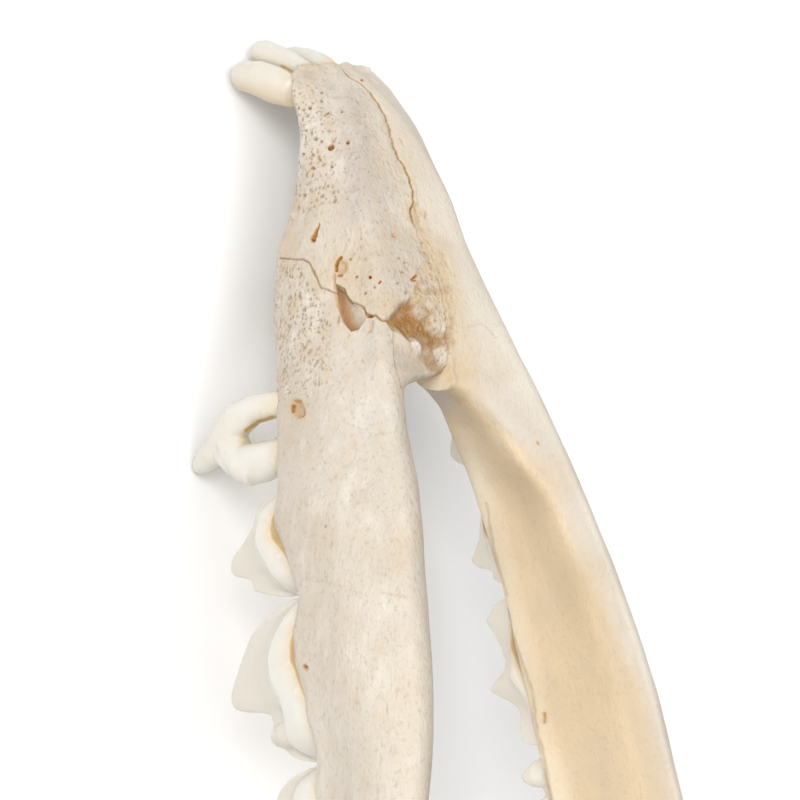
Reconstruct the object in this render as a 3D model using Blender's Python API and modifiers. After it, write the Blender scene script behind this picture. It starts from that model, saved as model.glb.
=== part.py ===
"""Lower jaw of an old red fox: two half jaws with their teeth, lying upside down on a table.

The jaw is modelled the right way up in its own frame, in millimetres: x to the animal's right,
station s backwards from the front of the jaw, z up from the line of the tooth sockets. The empty
at the end turns it over, so that it rests on the tips of both coronoid processes and on the
front teeth, with its underside up and its front towards -Y.
"""

import math

import bmesh
import bpy
from mathutils import Vector

MM = 0.001

# Whole jaw
SYMPHYSIS_GAP = 0.3
SYMPHYSIS_END = 30.0
VOXEL = 0.5
SMOOTH_STEPS = 4
BONE_TRIANGLES = 2800
BODY_STEP = 1.0
BODY_END = 92.0
RING_SIDES = 28

# Profiles of the body of the jaw along its length: (station, value)
CREST_Z = ((0, 0), (4, -0.3), (7, -0.8), (10, 0.1), (13.5, 1.3), (17, 2.8), (22, 3.0), (28, 2.6),
           (33, 2.2), (39, 1.6), (44, 0.7), (48, 0.2), (53, 0.2), (64, 0.1), (70, 0.6), (76, 1.6), (84, 1.4),
           (92, -0.6))
LATERAL_DROP = ((0, 0), (22, 0.1), (33, 0.6), (48, 0.7), (84, 0.4))
LATERAL_X = ((0, 4.5), (2, 5.9), (4, 6.7), (8, 7.4), (13, 7.9), (17, 9.0), (22, 10.3), (28, 11.8),
             (33, 13.0), (39, 14.6), (48, 15.5), (55, 16.3), (64, 15.95), (70, 16.4), (76, 18.0), (84, 20.1),
             (92, 21.2))
MEDIAL_X = ((0, 0.8), (4, 2.6), (8, 3.0), (13, 3.6), (20, 4.8), (27, 6.2), (33, 7.0), (39, 8.4), (48, 8.7),
            (57, 9.4), (64, 10.0), (70, 11.2), (76, 13.6), (84, 17.0), (92, 19.4))
KEEL_X = ((0, 1.6), (8, 3.1), (13, 4.1), (19, 4.9), (25, 6.0), (30, 7.6), (35, 8.8), (41, 9.8), (50, 11.6),
          (59, 13.1), (67, 14.6), (75, 16.5), (84, 18.6), (92, 19.9))
KEEL_Z = ((0, -1.0), (2, -2.7), (4, -3.9), (7, -5.1), (10, -6.0), (13, -6.7), (19, -7.7), (25, -8.7),
          (30, -9.5), (35, -10.2), (41, -11.4), (50, -12.5), (59, -13.0), (67, -12.5), (75, -11.4),
          (84, -9.8), (92, -8.4))
KEEL_HALF = ((0, 1.0), (10, 2.1), (30, 2.3), (41, 2.6), (59, 2.7), (84, 1.8), (92, 1.3))
TROUGH_Z = ((0, -0.4), (4, -1.4), (10, -2.4), (18, -3.3), (26, -4.3), (32, -4.8))
MIDLINE_RISE = ((0, 0.2), (22, 0.3), (27, 1.2), (31, 3.2), (35, 3.4))
LATERAL_BULGE = 0.6
MEDIAL_BULGE = 0.25

# The left front of the jaw has shrunk where its incisors were lost: (station, width or height lost)
LEFT_FRONT_WIDTH_LOST = ((0, 2.3), (4, 2.5), (8, 1.9), (13, 1.0), (18, 0.8), (24, 0.5), (32, 0.1), (36, 0))
LEFT_FRONT_HEIGHT_LOST = ((0, 0.4), (4, 0.9), (8, 0.5), (13, 0.1), (16, 0.0))

# The ramus, as level sections: (height, value)
RAMUS_FRONT = ((-10.2, 78), (-6, 74), (0, 73.8), (3, 75.2), (8, 77.8), (14, 81.2), (19, 84.4), (23, 87.6),
               (26, 91.2))
RAMUS_BACK = ((-10.2, 88), (-8, 95), (-4, 97.6), (0, 99.5), (3, 100.8), (5.5, 100.2), (8, 98.8),
              (12, 97.9), (17, 98.5), (21, 99.2), (24, 98.4), (26, 95.4))
RAMUS_HALF = ((-10.2, 1.4), (-4, 2.1), (2, 2.2), (8, 1.75), (16, 1.4), (22, 1.25), (26, 1.0))
RAMUS_LEVELS = 26
RAMUS_BOTTOM, RAMUS_TOP = -10.2, 26.0
FOSSA_CENTRE, FOSSA_REACH, FOSSA_DEPTH = (88.5, 3.0), (9.5, 11.0), 1.3

# Condyle and angular process: (x, s, z), half widths across and up
NECK = (((20.4, 92.0, -0.2), 1.6, 5.4), ((20.9, 96.5, 0.6), 2.0, 4.9), ((21.1, 100.0, 1.9), 2.7, 3.7),
        ((21.2, 103.4, 3.2), 4.6, 2.3))
CONDYLE_CENTRE, CONDYLE_HALF, CONDYLE_YAW = (21.4, 104.2, 3.7), (7.0, 2.5, 2.5), 8.0
ANGLE = (((19.0, 84.0, -5.4), 1.9, 4.2), ((20.0, 92.0, -6.3), 1.9, 3.6), ((20.7, 98.0, -7.0), 1.7, 2.6),
         ((21.1, 102.6, -6.3), 1.3, 1.8), ((21.2, 106.2, -4.4), 0.8, 0.8))

# Foramina: (x, s, z) of the mouth, half sizes of the pit (x, s, z)
RIGHT_FORAMINA = (((4.0, 9.4, -5.2), (0.5, 0.7, 0.8)), ((6.6, 17.5, -3.8), (0.7, 1.2, 0.6)),
                  ((5.9, 20.4, -7.6), (0.9, 1.4, 1.4)), ((11.8, 30.8, -1.4), (1.0, 1.2, 0.8)))
LEFT_FORAMINA = (((7.4, 20.0, -4.0), (0.9, 1.3, 0.9)), ((11.6, 31.5, -2.0), (0.9, 1.1, 0.8)))
MANDIBULAR_FORAMEN = ((17.3, 84.0, -2.2), (1.3, 1.9, 1.2))

# Cheek teeth: socket line from (s, z) to (s, z), x at both ends, greatest width, root depth, how far
# the cusps lie outwards of the middle, and the crown's outline from the front: (share of length, height)
RIGHT_CHEEK_TEETH = {
    "p3": dict(ends=((28.1, 7.2), (37.0, 4.4)), x=(11.0, 11.9), width=3.6, root=0.7, outward=0.9,
               outline=((0, 0.2), (0.05, 1.2), (0.2, 3.0), (0.40, 6.6), (0.48, 7.7), (0.56, 6.6),
                        (0.66, 4.3), (0.8, 3.6), (0.93, 2.9), (1, 0.6))),
    "p4": dict(ends=((38.0, 0.9), (47.1, -0.1)), x=(11.2, 12.0), width=4.4, root=3.5, outward=1.7,
               outline=((0, 1.8), (0.06, 4.0), (0.2, 5.2), (0.36, 6.8), (0.52, 8.3), (0.62, 7.7),
                        (0.68, 6.4), (0.8, 5.6), (0.88, 4.2), (1, 1.6))),
    "m1": dict(ends=((47.6, -0.4), (62.3, -0.4)), x=(12.1, 13.1), width=5.8, root=4.0, outward=2.2,
               outline=((0, 1.6), (0.05, 4.2), (0.14, 6.2), (0.24, 8.0), (0.38, 9.5), (0.50, 10.3),
                        (0.555, 9.2), (0.60, 6.6), (0.74, 6.2), (0.84, 5.4), (0.94, 3.8), (1, 1.4))),
    "m2": dict(ends=((62.6, -0.4), (69.6, 0.2)), x=(13.0, 13.9), width=5.2, root=3.5, outward=1.2,
               outline=((0, 1.6), (0.1, 4.4), (0.28, 5.8), (0.45, 4.8), (0.68, 5.1), (0.9, 3.6), (1, 1.4))),
    "m3": dict(ends=((70.1, 0.4), (73.2, 1.0)), x=(14.0, 14.6), width=2.9, root=2.5, outward=0.0,
               outline=((0, 0.8), (0.15, 2.0), (0.5, 2.6), (0.85, 2.0), (1, 0.8))),
}
LEFT_CHEEK_TEETH = {
    "p2": dict(ends=((19.4, 2.4), (27.0, 2.2)), x=(7.4, 8.8), width=3.3, root=3.0, outward=0.6,
               outline=((0, 0.8), (0.1, 2.0), (0.38, 4.6), (0.5, 4.3), (0.75, 2.2), (0.93, 1.6), (1, 0.6))),
    "p3": dict(ends=((28.8, 1.8), (37.2, 1.3)), x=(9.5, 11.3), width=3.6, root=3.0, outward=1.4,
               outline=((0, 0.8), (0.1, 2.2), (0.42, 4.6), (0.55, 4.9), (0.72, 2.9), (0.93, 2.2), (1, 0.8))),
    "p4": dict(ends=((38.0, 0.9), (47.1, -0.1)), x=(11.2, 12.0), width=4.4, root=3.5, outward=1.7,
               outline=((0, 1.2), (0.08, 3.2), (0.3, 6.0), (0.46, 8.1), (0.58, 7.6), (0.68, 5.6), (0.8, 5.2),
                        (0.9, 3.2), (1, 1.2))),
    "m1": dict(RIGHT_CHEEK_TEETH["m1"],
               outline=((0, 1.6), (0.04, 5.6), (0.1, 7.4), (0.2, 7.0), (0.30, 6.8), (0.42, 9.2), (0.5, 9.9),
                        (0.58, 8.2), (0.66, 6.3), (0.8, 6.2), (0.9, 5.2), (0.96, 3.4), (1, 1.4))),
    "m2": RIGHT_CHEEK_TEETH["m2"],
    "m3": RIGHT_CHEEK_TEETH["m3"],
}
CHEEK_STATIONS = 8
CROWN_SECTION = ((0.0, 0.92), (0.0, 1.0), (0.3, 1.02), (0.62, 0.74), (0.88, 0.42))
CROWN_EDGE = 0.16
TALONID_CUSPS = {
    "m1": ((0.60, 7.4, -1.6, 1.3),),
    "m2": ((0.30, 5.4, -1.3, 1.3),),
}

# Single-rooted teeth: root and tip as (x, s, z), half widths at root, neck and tip (across, fore and aft)
INCISORS = {
    "i1": dict(root=(1.5, 2.6, -2.2), tip=(1.9, -3.1, 5.4), root_half=(0.8, 1.0), tip_half=(0.95, 0.7)),
    "i2": dict(root=(3.4, 3.2, -2.3), tip=(4.9, -2.9, 6.0), root_half=(1.0, 1.3), tip_half=(1.1, 0.9)),
    "i3": dict(root=(5.3, 4.2, -2.6), tip=(7.4, -1.4, 6.0), root_half=(1.3, 1.75), tip_half=(1.15, 1.15)),
}
P3_ROOTS = {
    "front": dict(root=(10.5, 30.4, 1.0), tip=(11.0, 29.6, 8.4), root_half=(1.3, 1.25), tip_half=(1.4, 1.5)),
    "back": dict(root=(11.3, 34.5, 0.6), tip=(11.2, 34.6, 6.6), root_half=(1.4, 1.6), tip_half=(1.5, 2.0)),
}
PEG_SIDES = 10
PEG_SHARES = (0.0, 0.25, 0.5, 0.72, 0.88, 0.97, 1.0)

BONE_COLOUR = (0.80, 0.72, 0.60, 1.0)


def between(knots, at):
    """The value of a profile at a station, on a smooth curve through its knots."""
    if at <= knots[0][0]:
        return knots[0][1]
    if at >= knots[-1][0]:
        return knots[-1][1]
    i = next(n for n in range(len(knots) - 1) if at <= knots[n + 1][0])
    (s0, v0), (s1, v1) = knots[i], knots[i + 1]

    def slope(n):
        before, after = knots[max(n - 1, 0)], knots[min(n + 1, len(knots) - 1)]
        return (after[1] - before[1]) / (after[0] - before[0])

    span = s1 - s0
    t = (at - s0) / span
    return ((2 * t**3 - 3 * t**2 + 1) * v0 + (t**3 - 2 * t**2 + t) * span * slope(i)
            + (3 * t**2 - 2 * t**3) * v1 + (t**3 - t**2) * span * slope(i + 1))


def blend(low, high, at):
    """0 below low, 1 above high, and smooth between."""
    t = min(1.0, max(0.0, (at - low) / (high - low)))
    return t * t * (3 - 2 * t)


def point(x, s, z):
    """A point of the jaw's own frame, in metres."""
    return Vector((x, -s, z)) * MM


def closed_curve(corners, count):
    """count points spread along a smooth closed curve through the corners."""
    total = len(corners)
    points = []
    for n in range(count):
        along = n * total / count
        i = int(along)
        t = along - i
        a, b, c, d = (corners[(i + k) % total] for k in (-1, 0, 1, 2))
        points.append(tuple(
            b[k] + 0.5 * t * (c[k] - a[k] + t * (2 * a[k] - 5 * b[k] + 4 * c[k] - d[k])
                              + t * t * (3 * b[k] - a[k] - 3 * c[k] + d[k]))
            for k in range(2)))
    return points


def loft(name, rings):
    """A closed mesh object through rings of points, capped at both ends."""
    mesh = bpy.data.meshes.new(name)
    bm = bmesh.new()
    rows = [[bm.verts.new(p) for p in ring] for ring in rings]
    sides = len(rows[0])
    for low, high in zip(rows, rows[1:]):
        for n in range(sides):
            bm.faces.new((low[n], low[(n + 1) % sides], high[(n + 1) % sides], high[n]))
    for row in (rows[0], rows[-1]):
        centre = bm.verts.new(sum((v.co for v in row), Vector()) / sides)
        for n in range(sides):
            bm.faces.new((row[n], row[(n + 1) % sides], centre))
    bmesh.ops.recalc_face_normals(bm, faces=bm.faces)
    bm.to_mesh(mesh)
    bm.free()
    obj = bpy.data.objects.new(name, mesh)
    bpy.context.scene.collection.objects.link(obj)
    return obj


def tube(name, path, sides=16):
    """A loft along path, whose points are (centre, half width across x, half width in the s-z plane)."""
    centres = [point(*centre) for centre, _, _ in path]
    rings = []
    for i, (_, across, up) in enumerate(path):
        along = (centres[min(i + 1, len(path) - 1)] - centres[max(i - 1, 0)]).normalized()
        side = Vector((1, 0, 0))
        normal = along.cross(side).normalized()
        rings.append([centres[i] + side * across * MM * math.cos(a) + normal * up * MM * math.sin(a)
                      for a in (2 * math.pi * n / sides for n in range(sides))])
    return loft(name, rings)


def ellipsoid(name, centre, half, yaw=0.0):
    bpy.ops.mesh.primitive_uv_sphere_add(segments=20, ring_count=12, radius=1.0, location=point(*centre))
    obj = bpy.context.object
    obj.name = name
    obj.scale = [h * MM for h in half]
    obj.rotation_euler.z = math.radians(yaw)
    bpy.ops.object.transform_apply(location=True, rotation=True, scale=True)
    return obj


def body_section(s, left):
    """The outline of the body of the jaw at a station, as (x, z) points, for the right half."""
    crest = between(CREST_Z, s)
    lateral = between(LATERAL_X, s)
    medial = between(MEDIAL_X, s)
    keel_x, keel_z, half = between(KEEL_X, s), between(KEEL_Z, s), between(KEEL_HALF, s)
    if left:
        lost = between(LEFT_FRONT_WIDTH_LOST, s)
        lateral -= lost
        keel_x -= 0.6 * lost
        crest -= between(LEFT_FRONT_HEIGHT_LOST, s)
    outer_crest = crest - between(LATERAL_DROP, s)
    height = crest - keel_z
    free = blend(SYMPHYSIS_END - 0.8, SYMPHYSIS_END + 2.2, s)
    inner_keel = (1 - free) * -1.2 + free * (keel_x - half)
    inner_wall = (1 - free) * -1.2 + free * ((medial + keel_x - half) / 2 - MEDIAL_BULGE)
    wall_z = (1 - free) * between(TROUGH_Z, s) + free * (crest - 0.5 * height)
    top_round = min(0.9, 0.25 * height)
    return [
        ((lateral + medial) / 2, (crest + outer_crest) / 2),
        (lateral - 0.25, outer_crest - 0.45 * top_round),
        (lateral + 0.15, outer_crest - 0.28 * height),
        ((lateral + keel_x + half) / 2 + LATERAL_BULGE, outer_crest - 0.56 * height),
        (keel_x + 0.86 * half, keel_z + 0.16 * height),
        (keel_x, keel_z),
        (inner_keel, keel_z + (1 - free) * between(MIDLINE_RISE, s) + free * 0.12 * height),
        (inner_wall, wall_z),
        (medial + 0.1, crest - 0.9 * top_round),
    ]


def body(left):
    count = int(BODY_END / BODY_STEP) + 1
    rings = []
    for n in range(count):
        s = n * BODY_STEP
        section = closed_curve(body_section(s, left), RING_SIDES)
        rings.append([point(x, s, z) for x, z in section])
    return loft("body", rings)


def ramus():
    """The upright plate with the coronoid process, as a stack of level sections."""
    rings = []
    for n in range(RAMUS_LEVELS):
        z = RAMUS_BOTTOM + (RAMUS_TOP - RAMUS_BOTTOM) * n / (RAMUS_LEVELS - 1)
        front, back = between(RAMUS_FRONT, z), between(RAMUS_BACK, z)
        half = between(RAMUS_HALF, z)
        ring = []
        for k in range(RING_SIDES + 8):
            angle = 2 * math.pi * k / (RING_SIDES + 8)
            s = (front + back) / 2 - (back - front) / 2 * math.cos(angle)
            bulk = math.copysign(abs(math.sin(angle)) ** 0.6, math.sin(angle))
            crest = 1 + 0.35 * blend(front + 7, front + 1, s) if bulk > 0 else 1.0
            middle = 19.7 + 0.2 * (s - 88) + 0.095 * (z + 5)
            x = middle + half * bulk * crest
            away = math.hypot((s - FOSSA_CENTRE[0]) / FOSSA_REACH[0], (z - FOSSA_CENTRE[1]) / FOSSA_REACH[1])
            if bulk > 0:
                x -= FOSSA_DEPTH * (1 - blend(0.35, 1.0, away))
            ring.append(point(x, s, z))
        rings.append(ring)
    return loft("ramus", rings)


def blade_tooth(name, spec):
    """A cheek tooth: sections across the tooth, from its front to its back, under the crown's outline."""
    (s0, z0), (s1, z1) = spec["ends"]
    length = math.hypot(s1 - s0, z1 - z0)
    along, up = ((s1 - s0) / length, (z1 - z0) / length), (-(z1 - z0) / length, (s1 - s0) / length)
    rings = []
    for n in range(CHEEK_STATIONS + 1):
        share = 0.5 - 0.5 * math.cos(math.pi * n / CHEEK_STATIONS)
        height = between(spec["outline"], share)
        half = spec["width"] / 2 * max(0.30, (1 - abs(2 * share - 1) ** 3)) ** 0.5
        middle = spec["x"][0] + (spec["x"][1] - spec["x"][0]) * share
        levels = [(h * height, w * half) for h, w in CROWN_SECTION]
        levels[0] = (-spec["root"], levels[0][1])
        levels.append((height, CROWN_EDGE * half))
        outline = [(w, h) for h, w in levels] + [(-w, h) for h, w in reversed(levels)]
        ring = []
        for across, rise in outline:
            x = middle + across + spec["outward"] * blend(0.2, 1.0, max(rise, 0) / max(height, 1))
            ring.append(point(x, s0 + along[0] * length * share + up[0] * rise,
                              z0 + along[1] * length * share + up[1] * rise))
        rings.append(ring)
    return loft(name, rings)


def peg(name, root, tip, root_half, tip_half):
    """A single root or a single-rooted tooth, rounded off at its tip."""
    path = []
    for share in PEG_SHARES:
        centre = tuple(a + (b - a) * share for a, b in zip(root, tip))
        round_off = 1.0 if share < 0.85 else math.sqrt(max(0.12, 1 - ((share - 0.85) / 0.155) ** 2))
        across = (root_half[0] + (tip_half[0] - root_half[0]) * share) * round_off
        up = (root_half[1] + (tip_half[1] - root_half[1]) * share) * round_off
        path.append((centre, across, up))
    return tube(name, path, PEG_SIDES)


def inner_cusp(name, spec, cusp):
    """A small cusp on the tongue side of a molar."""
    share, height, inward, half = cusp
    s = spec["ends"][0][0] + (spec["ends"][1][0] - spec["ends"][0][0]) * share
    x = spec["x"][0] + (spec["x"][1] - spec["x"][0]) * share + inward
    base = spec["ends"][0][1]
    path = [((x, s, base - 1), half, half * 1.1),
            ((x, s, base + height * 0.45), half, half * 1.1),
            ((x + 0.1, s, base + height * 0.8), half * 0.7, half * 0.75),
            ((x + 0.15, s, base + height), half * 0.25, half * 0.25)]
    return tube(name, path, PEG_SIDES)


def mirrored(obj):
    for vertex in obj.data.vertices:
        vertex.co.x = -vertex.co.x
    obj.data.flip_normals()


def joined(objects, name):
    """One object of several, each still a closed shell of its own."""
    bpy.ops.object.select_all(action="DESELECT")
    for obj in objects:
        obj.select_set(True)
    bpy.context.view_layer.objects.active = objects[0]
    bpy.ops.object.join()
    objects[0].name = name
    return objects[0]


def apply_modifiers(obj):
    graph = bpy.context.evaluated_depsgraph_get()
    mesh = bpy.data.meshes.new_from_object(obj.evaluated_get(graph))
    obj.modifiers.clear()
    obj.data = mesh


def boolean(obj, operation, others, solver="EXACT"):
    """One Boolean on a collection of closed meshes, applied, with the collection's objects then removed."""
    pieces = bpy.data.collections.new("pieces")
    for other in others:
        pieces.objects.link(other)
    modifier = obj.modifiers.new(operation.lower(), "BOOLEAN")
    modifier.operation = operation
    modifier.solver = solver
    modifier.operand_type = "COLLECTION"
    modifier.collection = pieces
    bpy.context.view_layer.update()
    apply_modifiers(obj)
    for other in others:
        bpy.data.objects.remove(other)
    bpy.data.collections.remove(pieces)


def keep_largest(obj):
    """Drops every loose scrap and sealed hollow, so that the node is one closed surface."""
    bm = bmesh.new()
    bm.from_mesh(obj.data)
    left = set(bm.faces)
    shells = []
    while left:
        queue = [left.pop()]
        shell = set(queue)
        while queue:
            for edge in queue.pop().edges:
                for face in edge.link_faces:
                    if face in left:
                        left.discard(face)
                        shell.add(face)
                        queue.append(face)
        shells.append(shell)
    largest = max(shells, key=len)
    scraps = [face for shell in shells if shell is not largest for face in shell]
    bmesh.ops.delete(bm, geom=scraps, context="FACES")
    bmesh.ops.dissolve_degenerate(bm, dist=1e-6, edges=bm.edges)
    bmesh.ops.triangulate(bm, faces=bm.faces)
    bm.to_mesh(obj.data)
    bm.free()


def fuse_bone(obj):
    """Melts the overlapping bone shapes into one skin, and thins it out to few triangles."""
    remesh = obj.modifiers.new("fuse", "REMESH")
    remesh.mode = "VOXEL"
    remesh.voxel_size = VOXEL * MM
    smooth = obj.modifiers.new("soften", "SMOOTH")
    smooth.factor = 0.5
    smooth.iterations = SMOOTH_STEPS
    apply_modifiers(obj)
    faces = sum(len(face.vertices) - 2 for face in obj.data.polygons)
    thin = obj.modifiers.new("thin", "DECIMATE")
    thin.ratio = BONE_TRIANGLES / faces
    apply_modifiers(obj)


def half_jaw(name, left, cheek_teeth, incisors, roots, foramina):
    """One half of the jaw: the bone fused, cut at the symphysis, pierced, and joined to its teeth."""
    shapes = [body(left), ramus(), tube("neck", NECK), tube("angle", ANGLE)]
    shapes.append(ellipsoid("condyle", CONDYLE_CENTRE, CONDYLE_HALF, CONDYLE_YAW))
    bone = joined(shapes, name)
    fuse_bone(bone)
    bpy.ops.mesh.primitive_cube_add(size=1.0)
    cutter = bpy.context.object
    cutter.scale = (0.02, 0.2, 0.1)
    cutter.location = (SYMPHYSIS_GAP / 2 * MM - 0.01, 0, 0)
    bpy.ops.object.transform_apply(location=True, rotation=True, scale=True)
    pits = [ellipsoid("pit", centre, half) for centre, half in (*foramina, MANDIBULAR_FORAMEN)]
    boolean(bone, "DIFFERENCE", [cutter, *pits])
    teeth = []
    for tooth, spec in cheek_teeth.items():
        teeth.append(blade_tooth(tooth, spec))
        teeth += [inner_cusp(tooth + "_cusp", spec, cusp) for cusp in TALONID_CUSPS.get(tooth, ())]
    teeth += [peg(tooth, **spec) for tooth, spec in {**incisors, **roots}.items()]
    boolean(bone, "UNION", teeth)
    keep_largest(bone)
    if left:
        mirrored(bone)
    bone.data.materials.clear()
    bone.data.materials.append(bone_material(name))
    bone.data.shade_smooth()
    bone.data.set_sharp_from_angle(angle=math.radians(40))
    return bone


def bone_material(name):
    material = bpy.data.materials.new(name)
    material.use_nodes = True
    shader = material.node_tree.nodes["Principled BSDF"]
    shader.inputs["Base Color"].default_value = BONE_COLOUR
    shader.inputs["Roughness"].default_value = 0.6
    shader.inputs["Metallic"].default_value = 0.0
    return material


def lie_down(halves):
    """Turns the jaw over on its coronoid tips and front teeth, and centres it on the floor."""
    points = [v.co.copy() for half in halves for v in half.data.vertices]
    split = -60 * MM

    def lowest(pitch, front):
        sine, cosine = math.sin(pitch), math.cos(pitch)
        return min(-p.y * sine - p.z * cosine for p in points if (p.y > split) == front)

    low, high = 0.0, math.radians(30)
    for _ in range(40):
        pitch = (low + high) / 2
        if lowest(pitch, True) < lowest(pitch, False):
            high = pitch
        else:
            low = pitch
    rest = bpy.data.objects.new("rest", None)
    bpy.context.scene.collection.objects.link(rest)
    rest.rotation_euler.x = math.pi + pitch
    bpy.context.view_layer.update()
    turned = [rest.matrix_world @ p for p in points]
    low, high = ([pick(p[k] for p in turned) for k in range(3)] for pick in (min, max))
    rest.location = (-(low[0] + high[0]) / 2, -(low[1] + high[1]) / 2, -low[2])
    for half in halves:
        half.parent = rest
    bpy.context.view_layer.update()
    return rest


def main():
    for obj in list(bpy.data.objects):
        bpy.data.objects.remove(obj)
    jaw = bpy.data.collections.new("fox_lower_jaw")
    bpy.context.scene.collection.children.link(jaw)
    halves = [
        half_jaw("half_jaw_right", False, RIGHT_CHEEK_TEETH, INCISORS, P3_ROOTS, RIGHT_FORAMINA),
        half_jaw("half_jaw_left", True, LEFT_CHEEK_TEETH, {}, {}, LEFT_FORAMINA),
    ]
    for half in halves:
        jaw.objects.link(half)
        bpy.context.scene.collection.objects.unlink(half)
    lie_down(halves)


main()
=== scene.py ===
"""Looks of the lower jaw of an old red fox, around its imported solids.

Each half of the jaw is a bone of its own, and each tooth is a piece of its own. They are shaped in
the jaw's own frame, in millimetres: x to the animal's right, station s backwards from the front of
the jaw, z up from the line of the tooth sockets. The left half is shaped as a right one and mirrored.
REST turns the jaw over, as the solids lie: underside up, front towards -Y.
"""

import itertools
import math

import bmesh
import bpy
import numpy as np
from mathutils import Matrix, Vector


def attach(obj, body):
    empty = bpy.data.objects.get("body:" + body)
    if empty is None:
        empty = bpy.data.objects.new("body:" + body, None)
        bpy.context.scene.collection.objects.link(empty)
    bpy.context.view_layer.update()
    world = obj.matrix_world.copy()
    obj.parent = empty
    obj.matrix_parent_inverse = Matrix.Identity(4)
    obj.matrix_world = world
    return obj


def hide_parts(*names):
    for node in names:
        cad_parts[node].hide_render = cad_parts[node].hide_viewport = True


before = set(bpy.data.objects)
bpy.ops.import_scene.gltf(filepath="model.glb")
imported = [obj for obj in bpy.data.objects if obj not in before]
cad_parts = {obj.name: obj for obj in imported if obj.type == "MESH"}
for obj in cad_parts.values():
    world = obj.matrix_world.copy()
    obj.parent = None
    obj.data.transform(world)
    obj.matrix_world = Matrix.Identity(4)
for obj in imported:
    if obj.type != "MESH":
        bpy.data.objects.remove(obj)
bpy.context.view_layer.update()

MM = 0.001

# How the jaw lies
PITCH = math.radians(11.87077831565484)
PLACE = Vector((0.0, -51.55897513, 6.59092097)) * MM
REST = Matrix.Translation(PLACE) @ Matrix.Rotation(math.pi + PITCH, 4, "X")

# Camera: it looks level with the jaw's length from its right, and has the front up in its picture
ELEVATION = math.radians(50)
ROLL = math.radians(1.2)
DISTANCE = 0.5
LENS, SENSOR, PICTURE = 255.0, 36.0, 800
FOCAL = LENS / SENSOR * PICTURE
AIM_POINT = (0.0, 48.55, 0.0)
AIM_PIXEL = (423.5, 597.5)
PIXELS = 11.33    # per millimetre at the jaw
UNSEEN = 9999.0    # in place of a picture coordinate
VIEW = Vector((-math.cos(ELEVATION), 0, -math.sin(ELEVATION)))
LEVEL = Vector((-math.sin(ELEVATION), 0, math.cos(ELEVATION)))
FRONT = Vector((0, -1, 0))
ACROSS = LEVEL * math.cos(ROLL) - FRONT * math.sin(ROLL)
UP = LEVEL * math.sin(ROLL) + FRONT * math.cos(ROLL)
EYE = (REST @ (Vector((AIM_POINT[0], -AIM_POINT[1], AIM_POINT[2])) * MM) - VIEW * DISTANCE
       - ACROSS * ((AIM_PIXEL[0] - PICTURE / 2) / FOCAL * DISTANCE)
       - UP * ((PICTURE / 2 - AIM_PIXEL[1]) / FOCAL * DISTANCE))

# Light: the even dome, and round lamps as (name, place and diameter in metres, power in watts)
DOME_STRENGTH = 0.15
LAMPS = (("softbox", (0.08, -0.06, 0.9), 1.1, 8.5), ("key", (0.78, -0.42, 0.85), 0.5, 7.0),
         ("fill", (0.84, 0.1, 0.62), 0.6, 3.0))
FLOOR_SIZE = 3

# Bone: mesh sizes
VOXEL = 0.2
BONE_SMOOTHING = 8
STATION_STEP = 0.5
RING_SIDES = 72
FINE_END = 34.0
SEAM_HALF = 0.06
BODY_END = 92.0
SYMPHYSIS_END = 29.4

# Profiles of the body of the jaw along its length: (station, value)
CREST_Z = ((0, 0), (4, -0.3), (7, -0.8), (10, 0.1), (13.5, 1.3), (17, 2.8), (22, 3.0), (28, 2.6),
           (33, 2.2), (39, 1.6), (44, 0.7), (48, 0.2), (53, 0.2), (64, 0.1), (70, 0.6), (76, 1.6), (84, 1.4),
           (92, -0.6))
LATERAL_DROP = ((0, 0), (22, 0.1), (33, 0.6), (48, 0.7), (84, 0.4))
LATERAL_X = ((0, 5.4), (1.3, 6.3), (2.6, 6.8), (4, 6.9), (8, 7.4), (13, 7.9), (17, 9.0), (22, 10.25),
             (25, 10.8), (28, 11.5), (33, 12.9), (39, 14.6), (48, 15.5), (55, 16.3), (64, 15.95), (70, 16.4),
             (76, 18.0), (84, 20.1), (92, 21.2))
MEDIAL_X = ((0, 0.8), (4, 2.6), (8, 3.0), (13, 3.6), (20, 4.8), (27, 6.2), (33, 7.0), (39, 8.4), (48, 8.7),
            (57, 9.4), (64, 10.0), (70, 11.2), (76, 13.6), (84, 17.0), (92, 19.4))
KEEL_X = ((0, 1.6), (8, 3.1), (13, 4.1), (19, 4.9), (25, 6.0), (30, 7.6), (35, 8.8), (41, 9.8), (50, 11.6),
          (59, 13.1), (67, 14.6), (75, 16.5), (84, 18.6), (92, 19.9))
KEEL_Z = ((0, -1.0), (2, -2.7), (4, -3.9), (7, -5.1), (10, -6.0), (13, -6.7), (19, -7.7), (25, -8.7),
          (30, -9.5), (35, -10.2), (41, -11.4), (50, -12.5), (59, -13.0), (67, -12.5), (75, -11.4),
          (84, -9.8), (92, -8.4))
KEEL_HALF = ((0, 1.0), (10, 2.1), (30, 2.3), (41, 2.6), (59, 2.7), (84, 1.8), (92, 1.3))
TROUGH_Z = ((0, -0.4), (4, -1.4), (10, -2.4), (18, -3.3), (26, -4.3), (32, -4.8))
MIDLINE_RISE = ((0, 0.2), (22, 0.3), (27, 1.2), (31, 3.2), (35, 3.4))
LEFT_FRONT_WIDTH_LOST = ((0, 3.2), (1.3, 3.2), (2.6, 3.0), (4, 2.7), (8, 1.9), (13, 1.0), (18, 0.8),
                         (24, 0.25), (26, 0.3), (27.5, 0.65), (29.5, 1.05), (31, 0.6), (33, 0.15),
                         (36, 0))
LEFT_FRONT_HEIGHT_LOST = ((0, 0.4), (4, 0.9), (8, 0.5), (13, 0.1), (16, 0.0))
LATERAL_BULGE = 0.6
MEDIAL_BULGE = 0.25

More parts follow.
